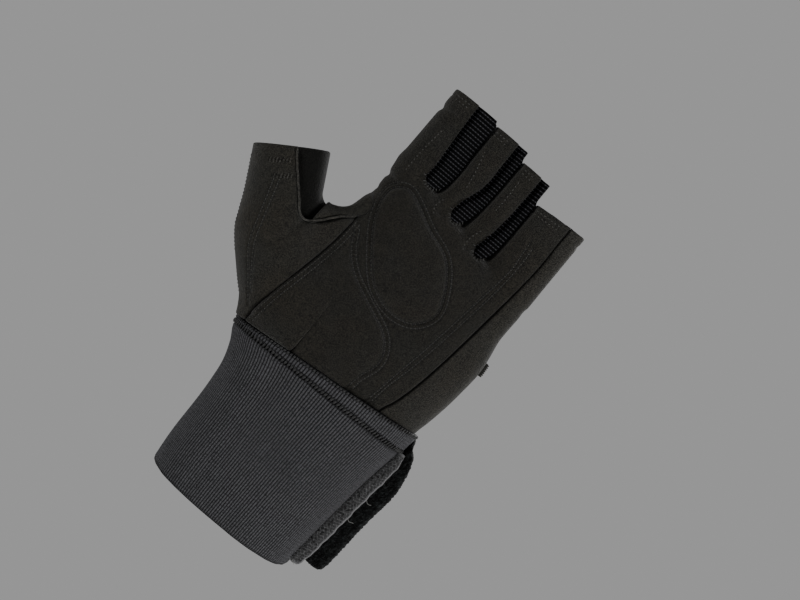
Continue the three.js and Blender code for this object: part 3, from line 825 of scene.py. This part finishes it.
def cuff_point(angle, level, inset=0.0):
    """Points of the cuff in millimetres, from angles round it and shares of its height."""
    left, right, front, back = cuff_reaches(level)
    c, s = np.cos(angle), np.sin(angle)
    reach = (np.abs(c) ** ROUNDNESS + np.abs(s) ** ROUNDNESS) ** (-1 / ROUNDNESS)
    x = c * reach * (np.where(c < 0, left, right) - inset)
    y = s * reach * (np.where(s < 0, front, back) - inset)
    share = np.clip(level, 0, 1)
    z = level * CUFF_HEIGHT + CUFF_SLOPE * share * x + CUFF_DROOP * (1 - share) * y
    return np.stack([x, y, z], axis=-1)


RIB = 1.25
RIB_HEIGHT = 0.35
RIB_STEPS = 6
SLIT = -0.1 * WRIST_DEPTH


def rib_angles(first, last, level=0.4):
    """Angles round the cuff, RIB_STEPS to each rib, evenly spaced along the cloth."""
    fine = np.linspace(first, last, 4000)
    p = cuff_point(fine, level)[:, :2]
    walked = np.concatenate([[0], np.cumsum(np.linalg.norm(np.diff(p, axis=0), axis=1))])
    ribs = max(1, round(walked[-1] / RIB))
    return np.interp(np.linspace(0, walked[-1], ribs * RIB_STEPS + 1), walked, fine)


def grid_faces(rows, columns, wrap_rows=False, wrap_columns=False):
    """Faces of a grid of points that is numbered row by row."""
    r = np.arange(rows if wrap_rows else rows - 1)
    c = np.arange(columns if wrap_columns else columns - 1)
    r, c = (a.ravel() for a in np.meshgrid(r, c, indexing="ij"))
    r2, c2 = (r + 1) % rows, (c + 1) % columns
    return np.stack([r * columns + c, r * columns + c2, r2 * columns + c2, r2 * columns + c], axis=1)


def cloth_wave(angle):
    """Slow waves of the elastic, in millimetres outwards."""
    return 0.25 * np.sin(angle * 5 + 1) + 0.18 * np.sin(angle * 11 + 2) + 0.1 * np.sin(angle * 23)


def knit_band(name, node, angles, low, high, rows, closed, proud=0.0):
    """A band of ribbed cloth round the wrist. low and high give its edges' heights over each angle."""
    thick = CUFF_WALL
    share = np.linspace(0.02, 0.98, rows)
    profile = [(t, 0.0, 1.0) for t in share]
    profile += [(1.0, 0.35, 0.5), (1.004, thick / 2, 0), (1.0, thick - 0.3, 0)]
    profile += [(t, thick, 0.0) for t in share[::-3]]
    profile += [(0.0, thick - 0.3, 0), (-0.004, thick / 2, 0), (0.0, 0.35, 0.5)]
    rings = []
    ribs = []
    phase = np.arange(len(angles)) % RIB_STEPS / RIB_STEPS
    round_rib = np.sqrt(np.abs(np.sin(phase * math.pi)))
    wave = cloth_wave(angles)
    for t, inset, ribbed in profile:
        level = (low(angles) + (high(angles) - low(angles)) * t) / CUFF_HEIGHT
        out = ribbed * RIB_HEIGHT * (round_rib - 0.6) + proud + wave * (inset < 1)
        rings.append(cuff_point(angles, level, inset - out))
        # How high on its rib each point lies; the material darkens the valleys from this as painted shade.
        ribs.append(round_rib * ribbed)
    rings = np.array(rings)
    ribs = np.array(ribs)
    if closed:
        rings, ribs = rings[:, :-1], ribs[:, :-1]
    rows, columns = rings.shape[:2]
    faces = grid_faces(rows, columns, True, closed)[:, ::-1].tolist()
    if not closed:
        faces.append([r * columns for r in range(rows)])
        faces.append([r * columns + columns - 1 for r in range(rows)][::-1])
    obj = new_mesh(name, rings.reshape(-1, 3), faces)
    add_value(obj, "rib", ribs.ravel())
    return settle(obj, "ribbed_elastic", node)


def hem_low(angle):
    """Height of the hem's lower edge, which slopes less than the cuff's top."""
    across = cuff_point(angle, 0.92)[..., 0]
    return CUFF_HEIGHT - HEM_HEIGHT + CUFF_SLOPE / 4 * across - CUFF_SLOPE * 0.92 * across


def full_height(angle):
    return CUFF_HEIGHT + 0.0 * angle


# Half the gap between the band's two ends.
END_GAP = 1.5


def build_cuff():
    half = END_GAP / (0.5 * WRIST_WIDTH)
    start = math.asin(SLIT / (0.5 * WRIST_DEPTH)) * 0.75
    open_angles = rib_angles(start + half, start + 2 * math.pi - half)
    band = knit_band("cuff_knit", "cuff_band", open_angles, lambda a: 0.0 * a,
                     lambda a: hem_low(a) - 0.15, rows=34, closed=False)
    hem = knit_band("cuff_hem_knit", "cuff_hem", rib_angles(0, 2 * math.pi), lambda a: hem_low(a) + 0.15,
                    full_height, rows=8, closed=True, proud=0.15)
    return {"band": band, "hem": hem}


# The closure, seen from the palm: level and how far it reaches out.
STRIP = [(0.045, 0.3), (0.1, 0.95), (0.5, 1.0), (0.8, 0.8), (0.93, 0.35)]
TAB = [(0.095, 0.8), (0.14, 1.06), (0.45, 1.02), (0.7, 0.98), (0.85, 0.72), (0.94, 0.45), (0.985, 0.18)]
STRIP_REACH = 5.5
TAB_REACH = 13.0
STRIP_THICK = 2.2
TAB_THICK = 2.4


def ribbon(name, paths, thick):
    """A strip of cloth through rows of points, with rounded edges. paths is rows by columns by 3."""
    along = np.gradient(paths, axis=1)
    down = np.gradient(paths, axis=0)
    normal = np.cross(along, down)
    normal /= np.maximum(np.linalg.norm(normal, axis=2, keepdims=True), 1e-9)
    rows, columns = paths.shape[:2]
    r = np.minimum(np.arange(rows), np.arange(rows)[::-1])[:, None]
    c = np.minimum(np.arange(columns), np.arange(columns)[::-1])[None, :]
    half = thick / 2 * np.sqrt(np.clip((np.minimum(r, c) + 0.5) / 3, 0, 1))
    front = paths + normal * half[..., None]
    back = paths - normal * half[..., None]
    n = rows * columns
    faces = grid_faces(rows, columns)
    rim = (
        [(0, j) for j in range(columns)]
        + [(i, columns - 1) for i in range(1, rows)]
        + [(rows - 1, j) for j in range(columns - 2, -1, -1)]
        + [(i, 0) for i in range(rows - 2, 0, -1)]
    )
    edge_points = np.array([i * columns + j for i, j in rim])
    after = np.roll(edge_points, -1)
    sides = np.stack([edge_points, edge_points + n, after + n, after], axis=1)
    obj = new_mesh(name, np.vstack([front.reshape(-1, 3), back.reshape(-1, 3)]),
                   np.vstack([faces, faces[:, ::-1] + n, sides]).tolist())
    rim_share = np.clip(1.35 - np.minimum(r, c) / 2, 0, 1).ravel()
    add_value(obj, "rim", np.concatenate([rim_share, rim_share]))
    return obj


def closure_rows(table, count):
    """Levels up a layer of the closure, how far it reaches out there, and the cuff's side."""
    level = np.linspace(table[0][0], table[-1][0], count)
    return level, columns_at(table, level, 1)[0], cuff_reaches(level)[1]


def build_strip():
    level, reach, edge = closure_rows(STRIP, 120)
    across = np.linspace(0, 1, 18)
    x = (edge - 1.5)[:, None] + (1.5 + STRIP_REACH * reach)[:, None] * across
    x += (0.16 * np.sin(level * 46) + 0.1 * np.sin(level * 97 + 1))[:, None] * across
    y = SLIT - 0.6 * np.sin(across * math.pi)[None, :] + 0 * x
    z = level[:, None] * CUFF_HEIGHT + 0 * x
    strip = ribbon("closure_binding", np.stack([x, y, z], axis=2), STRIP_THICK)
    return settle(strip, "ribbed_elastic", "closure_strip")


def tab_row(row, out, side):
    """A line of the tab at one level, from its free edge round to the back of the cuff."""
    depth = SLIT + STRIP_THICK / 2 + 0.3 + TAB_THICK / 2
    free = side + TAB_REACH * out
    bend = side + 0.3 + TAB_THICK / 2
    flap = [(free - (free - bend) * t, depth - 0.2 * max(0.0, (free - bend) * (0.6 - t)), row * CUFF_HEIGHT)
            for t in np.linspace(0, 0.85, 22)]
    share = min(max(row, 0.12), 0.88)
    wrap = cuff_point(np.linspace(0.06, 1.95, 90), share, -0.35 - TAB_THICK / 2)
    wrap[:, 2] += (row - share) * CUFF_HEIGHT * np.linspace(1, 0.4, 90)
    line = np.vstack([flap, wrap])
    for _ in range(8):
        line[19:27] = (line[18:26] + 2 * line[19:27] + line[20:28]) / 4
    return line


def build_closure():
    strip = build_strip()
    rows = [tab_row(*row) for row in zip(*closure_rows(TAB, 130))]
    tab = ribbon("hook_and_loop", np.array(rows), TAB_THICK)
    roughen(tab, 0.28, 11)
    return {"strip": strip, "tab": settle(tab, "hook_and_loop", "hook_tab")}


def roughen(obj, amount, seed):
    """Small uneven bumps along the surface's own directions."""
    mesh = obj.data
    count = len(mesh.vertices)
    points = np.zeros(count * 3)
    normals = np.zeros(count * 3)
    mesh.vertices.foreach_get("co", points)
    mesh.vertices.foreach_get("normal", normals)
    shift = np.random.default_rng(seed).uniform(-1, 1, count) * amount * MM
    points += normals * np.repeat(shift, 3)
    mesh.vertices.foreach_set("co", points)
    mesh.update()


def stitch_form(sides=6, rings=5):
    """A short length of thread along X from -0.5 to 0.5, of radius 1, with its ends let in."""
    t = np.linspace(-1, 1, rings)
    points = []
    for u in t:
        r = math.sqrt(max(0.12, 1 - u**4))
        for k in range(sides):
            a = 2 * math.pi * k / sides
            points.append((u / 2, r * math.cos(a), r * math.sin(a)))
    faces = grid_faces(rings, sides, False, True).tolist()
    faces += [list(range(sides))[::-1], [(rings - 1) * sides + k for k in range(sides)]]
    return np.array(points), faces


def sew(name, starts, ends, normals, radius, slot, lift=0.0):
    """Threads from starts to ends, all in one piece. lift is how far their middles rise."""
    form, form_faces = stitch_form()
    points, faces = [], []
    for a, b, n in zip(starts, ends, normals):
        along = b - a
        side = np.cross(n, along)
        side /= max(np.linalg.norm(side), 1e-9)
        up = np.cross(along, side)
        up /= max(np.linalg.norm(up), 1e-9)
        bulge = lift * (1 - (2 * form[:, 0]) ** 2)
        placed = (a + b) / 2 + form[:, :1] * along + form[:, 1:2] * radius * side
        placed = placed + (form[:, 2:3] * radius * 0.8 + bulge[:, None]) * up
        faces += [[i + len(points) * len(form) for i in f] for f in form_faces]
        points.append(placed)
    return settle(new_mesh(name, np.vstack(points), faces), slot)


def tree_of(objects):
    """A tree of several objects' faces in millimetres, for finding places on them."""
    points, faces = [], []
    for obj in objects:
        base = len(points)
        points += [v.co / MM for v in obj.data.vertices]
        faces += [[base + i for i in p.vertices] for p in obj.data.polygons]
    return BVHTree.FromPolygons(points, faces)


def front_of(objects):
    """Finds the glove's front over a place in X and Z."""
    tree = tree_of(objects)

    def find(x, z):
        hit, normal, _, _ = tree.ray_cast(Vector((x, -120, z)), Vector((0, 1, 0)))
        return (None, None) if hit is None else (np.array(hit), np.array(normal))

    return find


def even_points(path, step):
    """Points evenly spaced along a line."""
    walked = np.concatenate([[0], np.cumsum(np.linalg.norm(np.diff(path, axis=0), axis=1))])
    marks = np.arange(0, walked[-1], step)
    return np.stack([np.interp(marks, walked, path[:, k]) for k in range(path.shape[1])], axis=1)


PITCH = 1.9
HEM_PITCH = 1.75
EDGE_PITCH = 1.7
# Height over the middle below which the cuff hides the palm's rows.
LOWEST_ROW = 79


class Threads:
    """Gathers stitches that lie on the glove's front."""

    def __init__(self, find):
        self.find = find
        self.starts, self.ends, self.normals = [], [], []

    def add(self, a, b, sunk=0.05, steep=1.5):
        p, n = self.find(*a)
        q, m = self.find(*b)
        if p is None or q is None or abs(p[1] - q[1]) > steep:
            return
        self.starts.append(p - n * sunk)
        self.ends.append(q - m * sunk)
        self.normals.append((n + m) / 2)

    def along(self, path, closed=False, length=0.45, offset=0.05):
        """A row of stitches along a line."""
        marks = even_points(smooth_line(path, 1.0, closed), PITCH)
        for a, b in zip(marks[:-1], marks[1:]):
            if min(a[1], b[1]) > LOWEST_ROW + CUFF_SLOPE * a[0]:
                self.add(a + (b - a) * offset, a + (b - a) * (offset + length))

    def across(self, path, pitch, reach, slant, steep=1.5, keep=lambda x, z: True):
        """Stitches that cross a line, from one side of it to the other."""
        marks = even_points(smooth_line(path, 1.0), pitch)
        for a, b in zip(marks[:-1], marks[1:]):
            if not keep(*a):
                continue
            along = (b - a) / np.linalg.norm(b - a)
            side = np.array([-along[1], along[0]])
            self.add(a + side * reach[0] - along * slant, a + side * reach[1] + along * slant, steep=steep)

    def piece(self, name, radius, slot="suede", lift=0.1):
        return sew(name, self.starts, self.ends, self.normals, radius, slot, lift)


def rim_rows():
    """Two rows of stitches below each stall's rim."""
    for left, right in ((-37, -28.5), (-13.5, -4.5), (5, 14), (22.5, 37.5)):
        x = np.linspace(left, right, 5)
        for drop in (2.4, 4.2):
            yield np.column_stack([x, rim_height(x) - drop])


PALM_ROWS = [
    (OVAL_PAD, True), (OVAL_OUTER, True), (HEEL_EDGE, False), (HEEL_OUTER, False),
    (OUTER_ROW, False), (OUTER_ROW_2, False), (THUMB_ROW, False), (THUMB_ROW_2, False),
    (THENAR_ROWS[0], False), (THENAR_ROWS[1], False),
]
# Short rows that tack the panels down on the stalls.
TACKS = [
    [(-33.8, 170), (-33.6, 182), (-32.2, 196)],
    [(-11.8, 199), (-9, 188), (-7.6, 180)],
    [(9.6, 171), (7.8, 165.5), (8, 160.5), (10.2, 157)],
    [(-12.2, 171), (-13.4, 166), (-10.4, 161.6)],
    [(8.4, 198), (8.8, 188), (8.6, 180)],
]


def sew_front(find):
    """All the stitches on the palm side."""
    rows, hole_shadows, ridges, lobes = (Threads(find) for _ in range(4))
    for path, closed in PALM_ROWS:
        rows.along(path, closed)
        # Black specks in the needle holes: painted shade.
        hole_shadows.along(path, closed, length=0.34, offset=0.58)
    for path in [*TACKS, *rim_rows()]:
        rows.along(path)
    for path in (THUMB_CROSS, THUMB_CROSS_2):
        ridges.across(path, 1.5, (-1.2, 1.2), 0.3)
    ridges.across(row_beside(OVAL_PAD, -1.05, 2.5, True), 1.7, (-0.8, 0.8), 0.35,
                  keep=lambda x, z: z < 152 and (x < 10 or z < 125))
    ridges.across(row_beside(HEEL_EDGE, 1.05, 2.5), 1.7, (-0.8, 0.8), 0.35)
    for line in GUSSETS.values():
        lobes.across(line[4:8], 1.25, (-1.5, -0.1), 0.2, steep=3)
    return {
        "palm_thread": rows.piece("palm_stitches", 0.3),
        "hole_shadows": hole_shadows.piece("needle_hole_shadows", 0.4, lift=0.0),
        "ridges": ridges.piece("gathered_ridges", 0.32, lift=0.05),
        "lobe_thread": lobes.piece("gusset_stitches", 0.26, lift=0.15),
    }


def tube(name, points, radius, slot, sides=8):
    """A round cord through points, thinner at its ends."""
    along = np.gradient(points, axis=0)
    along /= np.linalg.norm(along, axis=1, keepdims=True)
    side = np.cross(along, (0, 1, 0))
    side /= np.maximum(np.linalg.norm(side, axis=1, keepdims=True), 1e-9)
    up = np.cross(along, side)
    share = np.linspace(0, 1, len(points))
    size = radius * np.clip(np.minimum(share, 1 - share) * 30 + 0.3, 0, 1)
    rings = [points + size[:, None] * (math.cos(a) * side + math.sin(a) * up)
             for a in 2 * math.pi * np.arange(sides) / sides]
    rings = np.array(rings).transpose(1, 0, 2)
    faces = grid_faces(len(points), sides, False, True).tolist()
    faces += [list(range(sides))[::-1], [(len(points) - 1) * sides + k for k in range(sides)]]
    return settle(new_mesh(name, rings.reshape(-1, 3), faces), slot)


def seam_piping(find):
    """The rolled edge along the thumb's inner seam and the web."""
    line = even_points(smooth_line(PIPING, 0.8), 0.8)
    points = []
    for x, z in line:
        hits = [find(x - shift, z - 0.5 * shift)[0] for shift in (0.5, 0.9, 1.3)]
        depths = [hit[1] for hit in hits if hit is not None]
        if depths:
            points.append((x - 0.5, min(depths), z - 0.25))
    points = np.array(points)
    for _ in range(3):
        points[1:-1, 1] = (points[:-2, 1] + 2 * points[1:-1, 1] + points[2:, 1]) / 4
    points[:, 1] -= 0.25
    points[:, 0] += 0.12 * np.sin(np.arange(len(points)) * 0.9)
    return tube("seam_piping", points, 0.45, "suede")


def hem_stitches():
    """Two heavy rows of slanting stitches round the cuff's top."""
    starts, ends, normals = [], [], []
    for edge, shift, reach in ((hem_low, 0.4, 0.014), (full_height, -0.7, 0.010)):
        fine = np.linspace(0, 2 * math.pi, 1200)
        marks = even_points(np.column_stack([cuff_point(fine, 0.95)[:, :2], fine]), HEM_PITCH)[:, 2]
        level = (edge(marks) + shift) / CUFF_HEIGHT
        for angle, row in zip(marks, level):
            out = -0.45 - cloth_wave(angle)
            low = cuff_point(angle - 0.009, row - reach, out)
            top = cuff_point(angle + 0.009, row + reach, out)
            starts.append(low)
            ends.append(top)
            normals.append(low - cuff_point(angle, row, 1.0))
    return sew("hem_stitches", starts, ends, normals, 0.58, "ribbed_elastic", lift=0.1)


def outermost(tree, a, out, depths):
    """The outline's point beside a place, seen from the front, with its direction and how far off it is."""
    best = None
    for y in depths:
        start = Vector((a[0] + 12 * out[0], y, a[1] + 12 * out[1]))
        hit, normal, _, distance = tree.ray_cast(start, Vector((-out[0], 0, -out[1])), 24)
        if hit is not None and (best is None or distance < best[2]):
            best = (np.array(hit), np.array(normal), distance)
    return best


# The thumb's outer edge, in X and Z.
THUMB_EDGE = [(-90.6, 131), (-85.6, 123), (-82.4, 115), (-79.4, 110), (-75.2, 102), (-70.2, 94.6),
              (-65.2, 89), (-60.2, 83.6), (-55.4, 79.4)]


def edge_stitches(wall, other):
    """The fine row that shows along the thumb's outer edge."""
    tree = tree_of([wall, other])
    starts, ends, normals = [], [], []
    line = even_points(smooth_line(THUMB_EDGE, 1.0), EDGE_PITCH)
    for a, b in zip(line[:-1], line[1:]):
        along = (b - a) / np.linalg.norm(b - a)
        out = np.array([along[1], -along[0]])
        found = outermost(tree, a, out, np.arange(-20, 8, 0.8))
        if found is None:
            continue
        p, n, _ = found
        slant = np.array([along[0] * 0.5, 0, along[1] * 0.5])
        starts.append(p - slant + np.array([0, 1.3, 0]) - 0.1 * n)
        ends.append(p + slant - np.array([0, 1.3, 0]) - 0.1 * n)
        normals.append(n)
    return sew("edge_stitches", starts, ends, normals, 0.27, "suede", lift=0.15)


def build_seam_tab(wall, back):
    """The small folded end of tape in the seam of the little side panel."""
    tree = tree_of([wall, back])
    rows = []
    low, high = 120.8, 127.2
    for z in np.linspace(low, high, 33):
        found = outermost(tree, (49.0, z), (1.0, 0.0), np.arange(-12, 12, 0.8))
        x, y = found[0][0], found[0][1]
        reach = 1.5 + 0.35 * math.sin((z - low) * 2 * math.pi / 0.95)
        reach *= min(1.0, (z - low + 0.5) / 0.8, (high + 0.5 - z) / 0.8)
        rows.append([(x - 0.9 + (0.9 + reach) * t, y + 0.5 * t * t, z) for t in np.linspace(0, 1, 9)])
    return settle(ribbon("seam_tape", np.array(rows), 0.9), "suede", "seam_tab")


# Loose light threads on the loop cloth, from X and Z to X and Z.
LOOSE = [(45.6, 45.9, 51, 45.0), (45.2, 34.3, 50, 33.4), (39.2, 4.6, 41.2, 2.6)]


def loop_threads():
    made = {}
    for k, (x0, z0, x1, z1) in enumerate(LOOSE):
        t = np.linspace(0, 1, 12)
        x = x0 + (x1 - x0) * t
        z = z0 + (z1 - z0) * t + 0.5 * np.sin(t * 7 + k)
        y = SLIT + STRIP_THICK / 2 - 0.4 - 0.12 * np.clip(x - 44, 0, 9) - 0.2 * np.sin(t * math.pi)
        if k == 2:
            y = y - STRIP_THICK
        name = f"loose_thread_{k + 1}"
        made[name] = tube(name, np.stack([x, y, z], axis=1), 0.16, "hook_and_loop", 6)
    return made


class Look:
    """A material built from nodes."""

    def __init__(self, name, roughness, sheen=0.0, specular=0.25):
        self.material = bpy.data.materials.new(name)
        self.material.use_nodes = True
        self.tree = self.material.node_tree
        self.shader = self.tree.nodes["Principled BSDF"]
        self.shader.inputs["Roughness"].default_value = roughness
        self.shader.inputs["Specular IOR Level"].default_value = specular
        self.shader.inputs["Sheen Weight"].default_value = sheen
        self.shader.inputs["Sheen Roughness"].default_value = 0.5
        self.place = self.node("TexCoord").outputs["Object"]

    def node(self, kind, inputs=(), **settings):
        made = self.tree.nodes.new("ShaderNode" + kind)
        for name, value in settings.items():
            setattr(made, name, value)
        for socket, value in dict(inputs).items():
            if isinstance(value, bpy.types.NodeSocket):
                self.tree.links.new(value, made.inputs[socket])
            else:
                made.inputs[socket].default_value = value
        return made

    def noise(self, per_mm, detail=3.0, rough=0.55):
        """Noise from about -1 to 1, with its size in patches per millimetre."""
        found = self.node("TexNoise", {"Vector": self.place, "Scale": per_mm / MM, "Detail": detail,
                                       "Roughness": rough})
        return self.scaled(found.outputs["Fac"], 4.0, -2.0)

    def maths(self, operation, a, b=0.0, c=0.0):
        return self.node("Math", {0: a, 1: b, 2: c}, operation=operation).outputs[0]

    def scaled(self, value, factor, more=0.0):
        return self.maths("MULTIPLY_ADD", value, factor, more)

    def times(self, a, b):
        return self.maths("MULTIPLY", a, b)

    def wave(self, axis, pitch):
        """A sine along an axis, from -1 to 1, with its pitch in millimetres."""
        split = self.node("SeparateXYZ", {0: self.place})
        return self.maths("SINE", self.scaled(split.outputs[axis], 2 * math.pi / (pitch * MM)))

    def value(self, name):
        return self.node("Attribute", attribute_name=name).outputs["Fac"]

    def mix(self, share, a, b):
        return self.node("Mix", {0: share, 6: (*a, 1), 7: (*b, 1)}, data_type="RGBA").outputs[2]

    def shade(self, colour, factor):
        """A colour made lighter or darker by a factor."""
        return self.node("VectorMath", {0: colour, "Scale": factor}, operation="SCALE").outputs[0]

    def colour(self, colour):
        self.tree.links.new(colour, self.shader.inputs["Base Color"])

    def bump(self, height, distance):
        made = self.node("Bump", {"Height": height, "Distance": distance * MM, "Strength": 1.0})
        self.tree.links.new(made.outputs[0], self.shader.inputs["Normal"])


def suede(name, warm, cool, painted_seam_shade=0.55, sheen=0.08):
    look = Look(name, 0.95, sheen=sheen, specular=0.1)
    fine = look.noise(1.6, 3.0, 0.6)
    nap = look.noise(0.28, 3.0, 0.6)
    patches = look.noise(0.05, 2.0)
    base = look.mix(look.scaled(patches, 0.6, 0.5), warm, cool)
    light = look.scaled(fine, 1.3, 1.0)
    light = look.scaled(nap, 0.2, light)
    light = look.maths("MAXIMUM", light, 0.15)
    # Painted shade: the seam value darkens the suede along its seams and stitched grooves.
    seam = look.times(look.value("seam"), -painted_seam_shade)
    light = look.times(light, look.maths("ADD", seam, 1.0))
    look.colour(look.shade(base, light))
    look.bump(look.scaled(nap, 0.6, fine), 0.17)
    return look.material


def elastic(name, dark, light):
    look = Look(name, 0.9, specular=0.2)
    fine = look.noise(1.6, 3.0)
    loops = look.wave(2, 1.6)
    # Painted shade: the rib valleys are dark and the crests light.
    share = look.maths("POWER", look.value("rib"), 2.2)
    share = look.times(share, look.scaled(fine, 0.8, 0.95))
    share = look.times(share, look.scaled(loops, 0.12, 0.9))
    base = look.mix(share, dark, light)
    look.colour(look.shade(base, look.scaled(look.noise(0.06), 0.08, 1.0)))
    look.bump(look.scaled(loops, 0.4, fine), 0.12)
    return look.material


def mesh_cloth(name, dark, light):
    look = Look(name, 0.9, specular=0.05)
    rows = look.maths("POWER", look.maths("MAXIMUM", look.wave(2, 1.7), 0.0), 2.5)
    dots = look.times(rows, look.scaled(look.wave(0, 1.5), 0.4, 0.6))
    share = look.times(dots, look.scaled(look.noise(1.5), 0.3, 0.9))
    look.colour(look.mix(share, dark, light))
    look.bump(dots, 0.3)
    return look.material


def stretch(name, dark, light):
    look = Look(name, 0.8, sheen=0.05, specular=0.2)
    knit = look.times(look.wave(0, 0.9), look.wave(2, 0.8))
    share = look.scaled(knit, 0.25, look.scaled(look.noise(0.5), 0.2, 0.5))
    look.colour(look.mix(share, dark, light))
    look.bump(look.maths("ADD", knit, look.noise(1.2)), 0.08)
    return look.material


def pile(name, dark, light):
    look = Look(name, 1.0, sheen=0.05, specular=0.05)
    tufts = look.noise(0.55, 4.0, 0.7)
    share = look.maths("POWER", look.maths("MAXIMUM", look.scaled(tufts, 0.5, 0.35), 0.0), 2.5)
    look.colour(look.mix(share, dark, light))
    look.bump(look.maths("ADD", tufts, look.noise(1.5, 4.0)), 0.5)
    return look.material


def thread(name, colour):
    look = Look(name, 0.6, specular=0.35)
    light = look.scaled(look.noise(0.9, 3.0), 0.25, 1.0)
    look.colour(look.shade(colour, light))
    look.bump(look.noise(3.0), 0.05)
    return look.material


def binding_cloth(name, dark, light):
    """Knitted binding: light loops in a net, and paler edges."""
    look = Look(name, 0.85, specular=0.25)
    split = look.node("SeparateXYZ", {0: look.place})
    turn = 2 * math.pi / MM
    a = look.times(split.outputs[0], turn / 1.7)
    b = look.times(split.outputs[2], turn / 2.0)
    sines = [look.maths("SINE", look.maths(way, a, b)) for way in ("ADD", "SUBTRACT")]
    net = look.times(*sines)
    net = look.maths("SUBTRACT", 1.0, look.maths("ABSOLUTE", net))
    share = look.maths("POWER", net, 5.0)
    share = look.times(share, look.scaled(look.noise(0.9), 0.9, 0.6))
    share = look.maths("MAXIMUM", share, look.times(look.value("rim"), 0.5))
    look.colour(look.mix(share, dark, light))
    look.bump(share, 0.25)
    return look.material


def give_looks(walls, cuff, closure, threads):
    palm = suede("suede_palm", (0.0094, 0.0083, 0.0062), (0.0088, 0.0086, 0.0073))
    paler = suede("suede_side", (0.0128, 0.0116, 0.0091), (0.0120, 0.0117, 0.0100), 0.7)
    thumb = suede("suede_thumb", (0.0112, 0.0099, 0.0074), (0.0105, 0.0103, 0.0087))
    # A much darker copy of the suede for the thumb's inner side: painted shade where it turns away and lies
    # in the web's shadow.
    inner = suede("suede_inner_painted_shade", (0.0022, 0.0020, 0.0016), (0.0020, 0.0020, 0.0017), sheen=0.03)
    # A lighter copy of the suede for the rolled piping and the gathered ridges: painted highlight on the
    # raised edges.
    edge = suede("suede_edge_highlight", (0.0215, 0.0198, 0.0163), (0.0195, 0.0188, 0.0162))
    gusset = mesh_cloth("mesh_gusset", (0.0002, 0.0002, 0.0003), (0.047, 0.047, 0.052))
    ribbed = elastic("ribbed_elastic", (0.0012, 0.0012, 0.0015), (0.047, 0.047, 0.0505))
    binding = binding_cloth("binding_cloth", (0.0004, 0.0004, 0.0004), (0.19, 0.19, 0.195))
    loop = pile("loop_pile", (0.0009, 0.0010, 0.0010), (0.055, 0.062, 0.062))
    back = stretch("stretch_back", (0.0085, 0.0085, 0.0095), (0.021, 0.021, 0.023))
    grey = thread("thread_grey", (0.0208, 0.0200, 0.0172))
    pale = thread("thread_pale", (0.020, 0.020, 0.018))
    black = thread("thread_black", (0.0008, 0.0008, 0.0008))
    white = thread("thread_white", (0.12, 0.12, 0.115))
    chosen = {
        "palm": palm, "side": paler, "thumb": thumb, "thumb_side": inner, "web": thumb, "back": back,
        "band": ribbed, "hem": ribbed, "strip": binding, "tab": loop,
        # The needle holes' black is painted shade; the hem and edge rows are black thread.
        "palm_thread": grey, "ridges": edge, "lobe_thread": pale, "hole_shadows": black,
        "hem_thread": black, "edge_thread": black, "piping": edge, "tape": paler,
    }
    for key, obj in {**walls, **cuff, **closure, **threads}.items():
        obj.data.materials.append(chosen.get(key, white if key.startswith("loose") else gusset))


# How far the camera leans, and where it stands in metres.
CAMERA_LEAN = 40
CAMERA_PLACE = (0.0016, -1.2, 0.1241)


def add_camera():
    """Looks at the palm from far away, with the glove leaning to the right."""
    turn = math.radians(CAMERA_LEAN)
    data = bpy.data.cameras.new("camera")
    data.lens = 120
    data.sensor_width = 36
    camera = add_object("camera", data)
    right = Vector((math.cos(turn), 0, math.sin(turn)))
    up = Vector((-math.sin(turn), 0, math.cos(turn)))
    back = Vector((0, -1, 0))
    place = Matrix((right, up, back)).transposed().to_4x4()
    place.translation = Vector(CAMERA_PLACE)
    camera.matrix_world = place
    bpy.context.scene.camera = camera


# The middle that the lights face, in metres, and each one's name, place, size and power.
MIDDLE = (0, 0, 0.12)
LIGHTS = [
    ("key", (-1.15, -0.7, 0.4), 0.45, 18),
    ("low", (1.1, -0.55, -0.15), 0.6, 22),
    ("rim", (0.5, 1.0, 0.7), 0.8, 22),
]


def add_area(name, place, size, power):
    data = bpy.data.lights.new(name, "AREA")
    data.shape = "DISK"
    data.size = size
    data.energy = power
    light = add_object(name, data)
    light.location = place
    light.rotation_euler = (Vector(MIDDLE) - Vector(place)).to_track_quat("-Z", "Y").to_euler()


def add_lights():
    world = bpy.data.worlds.new("studio")
    world.use_nodes = True
    world.node_tree.nodes["Background"].inputs["Color"].default_value = (0.33, 0.33, 0.33, 1)
    bpy.context.scene.world = world
    for row in LIGHTS:
        add_area(*row)


def add_floor():
    mesh = bpy.data.meshes.new("floor")
    work = bmesh.new()
    bmesh.ops.create_circle(work, cap_ends=True, radius=0.85, segments=96)
    work.to_mesh(mesh)
    work.free()
    floor = add_object("floor", mesh)
    floor.location = (0, 0, -0.42)
    look = Look("pale_floor", 0.8)
    look.colour(look.shade((0.62, 0.62, 0.61), 1.0))
    floor.data.materials.append(look.material)


add_camera()
add_lights()
add_floor()
walls = build_walls()
cuff = build_cuff()
closure = build_closure()
find = front_of([wall for key, wall in walls.items() if key != "back"])
threads = sew_front(find)
threads["hem_thread"] = hem_stitches()
threads["edge_thread"] = edge_stitches(walls["thumb"], walls["back"])
threads["tape"] = build_seam_tab(walls["side"], walls["back"])
threads["piping"] = seam_piping(find)
threads.update(loop_threads())
give_looks(walls, cuff, closure, threads)
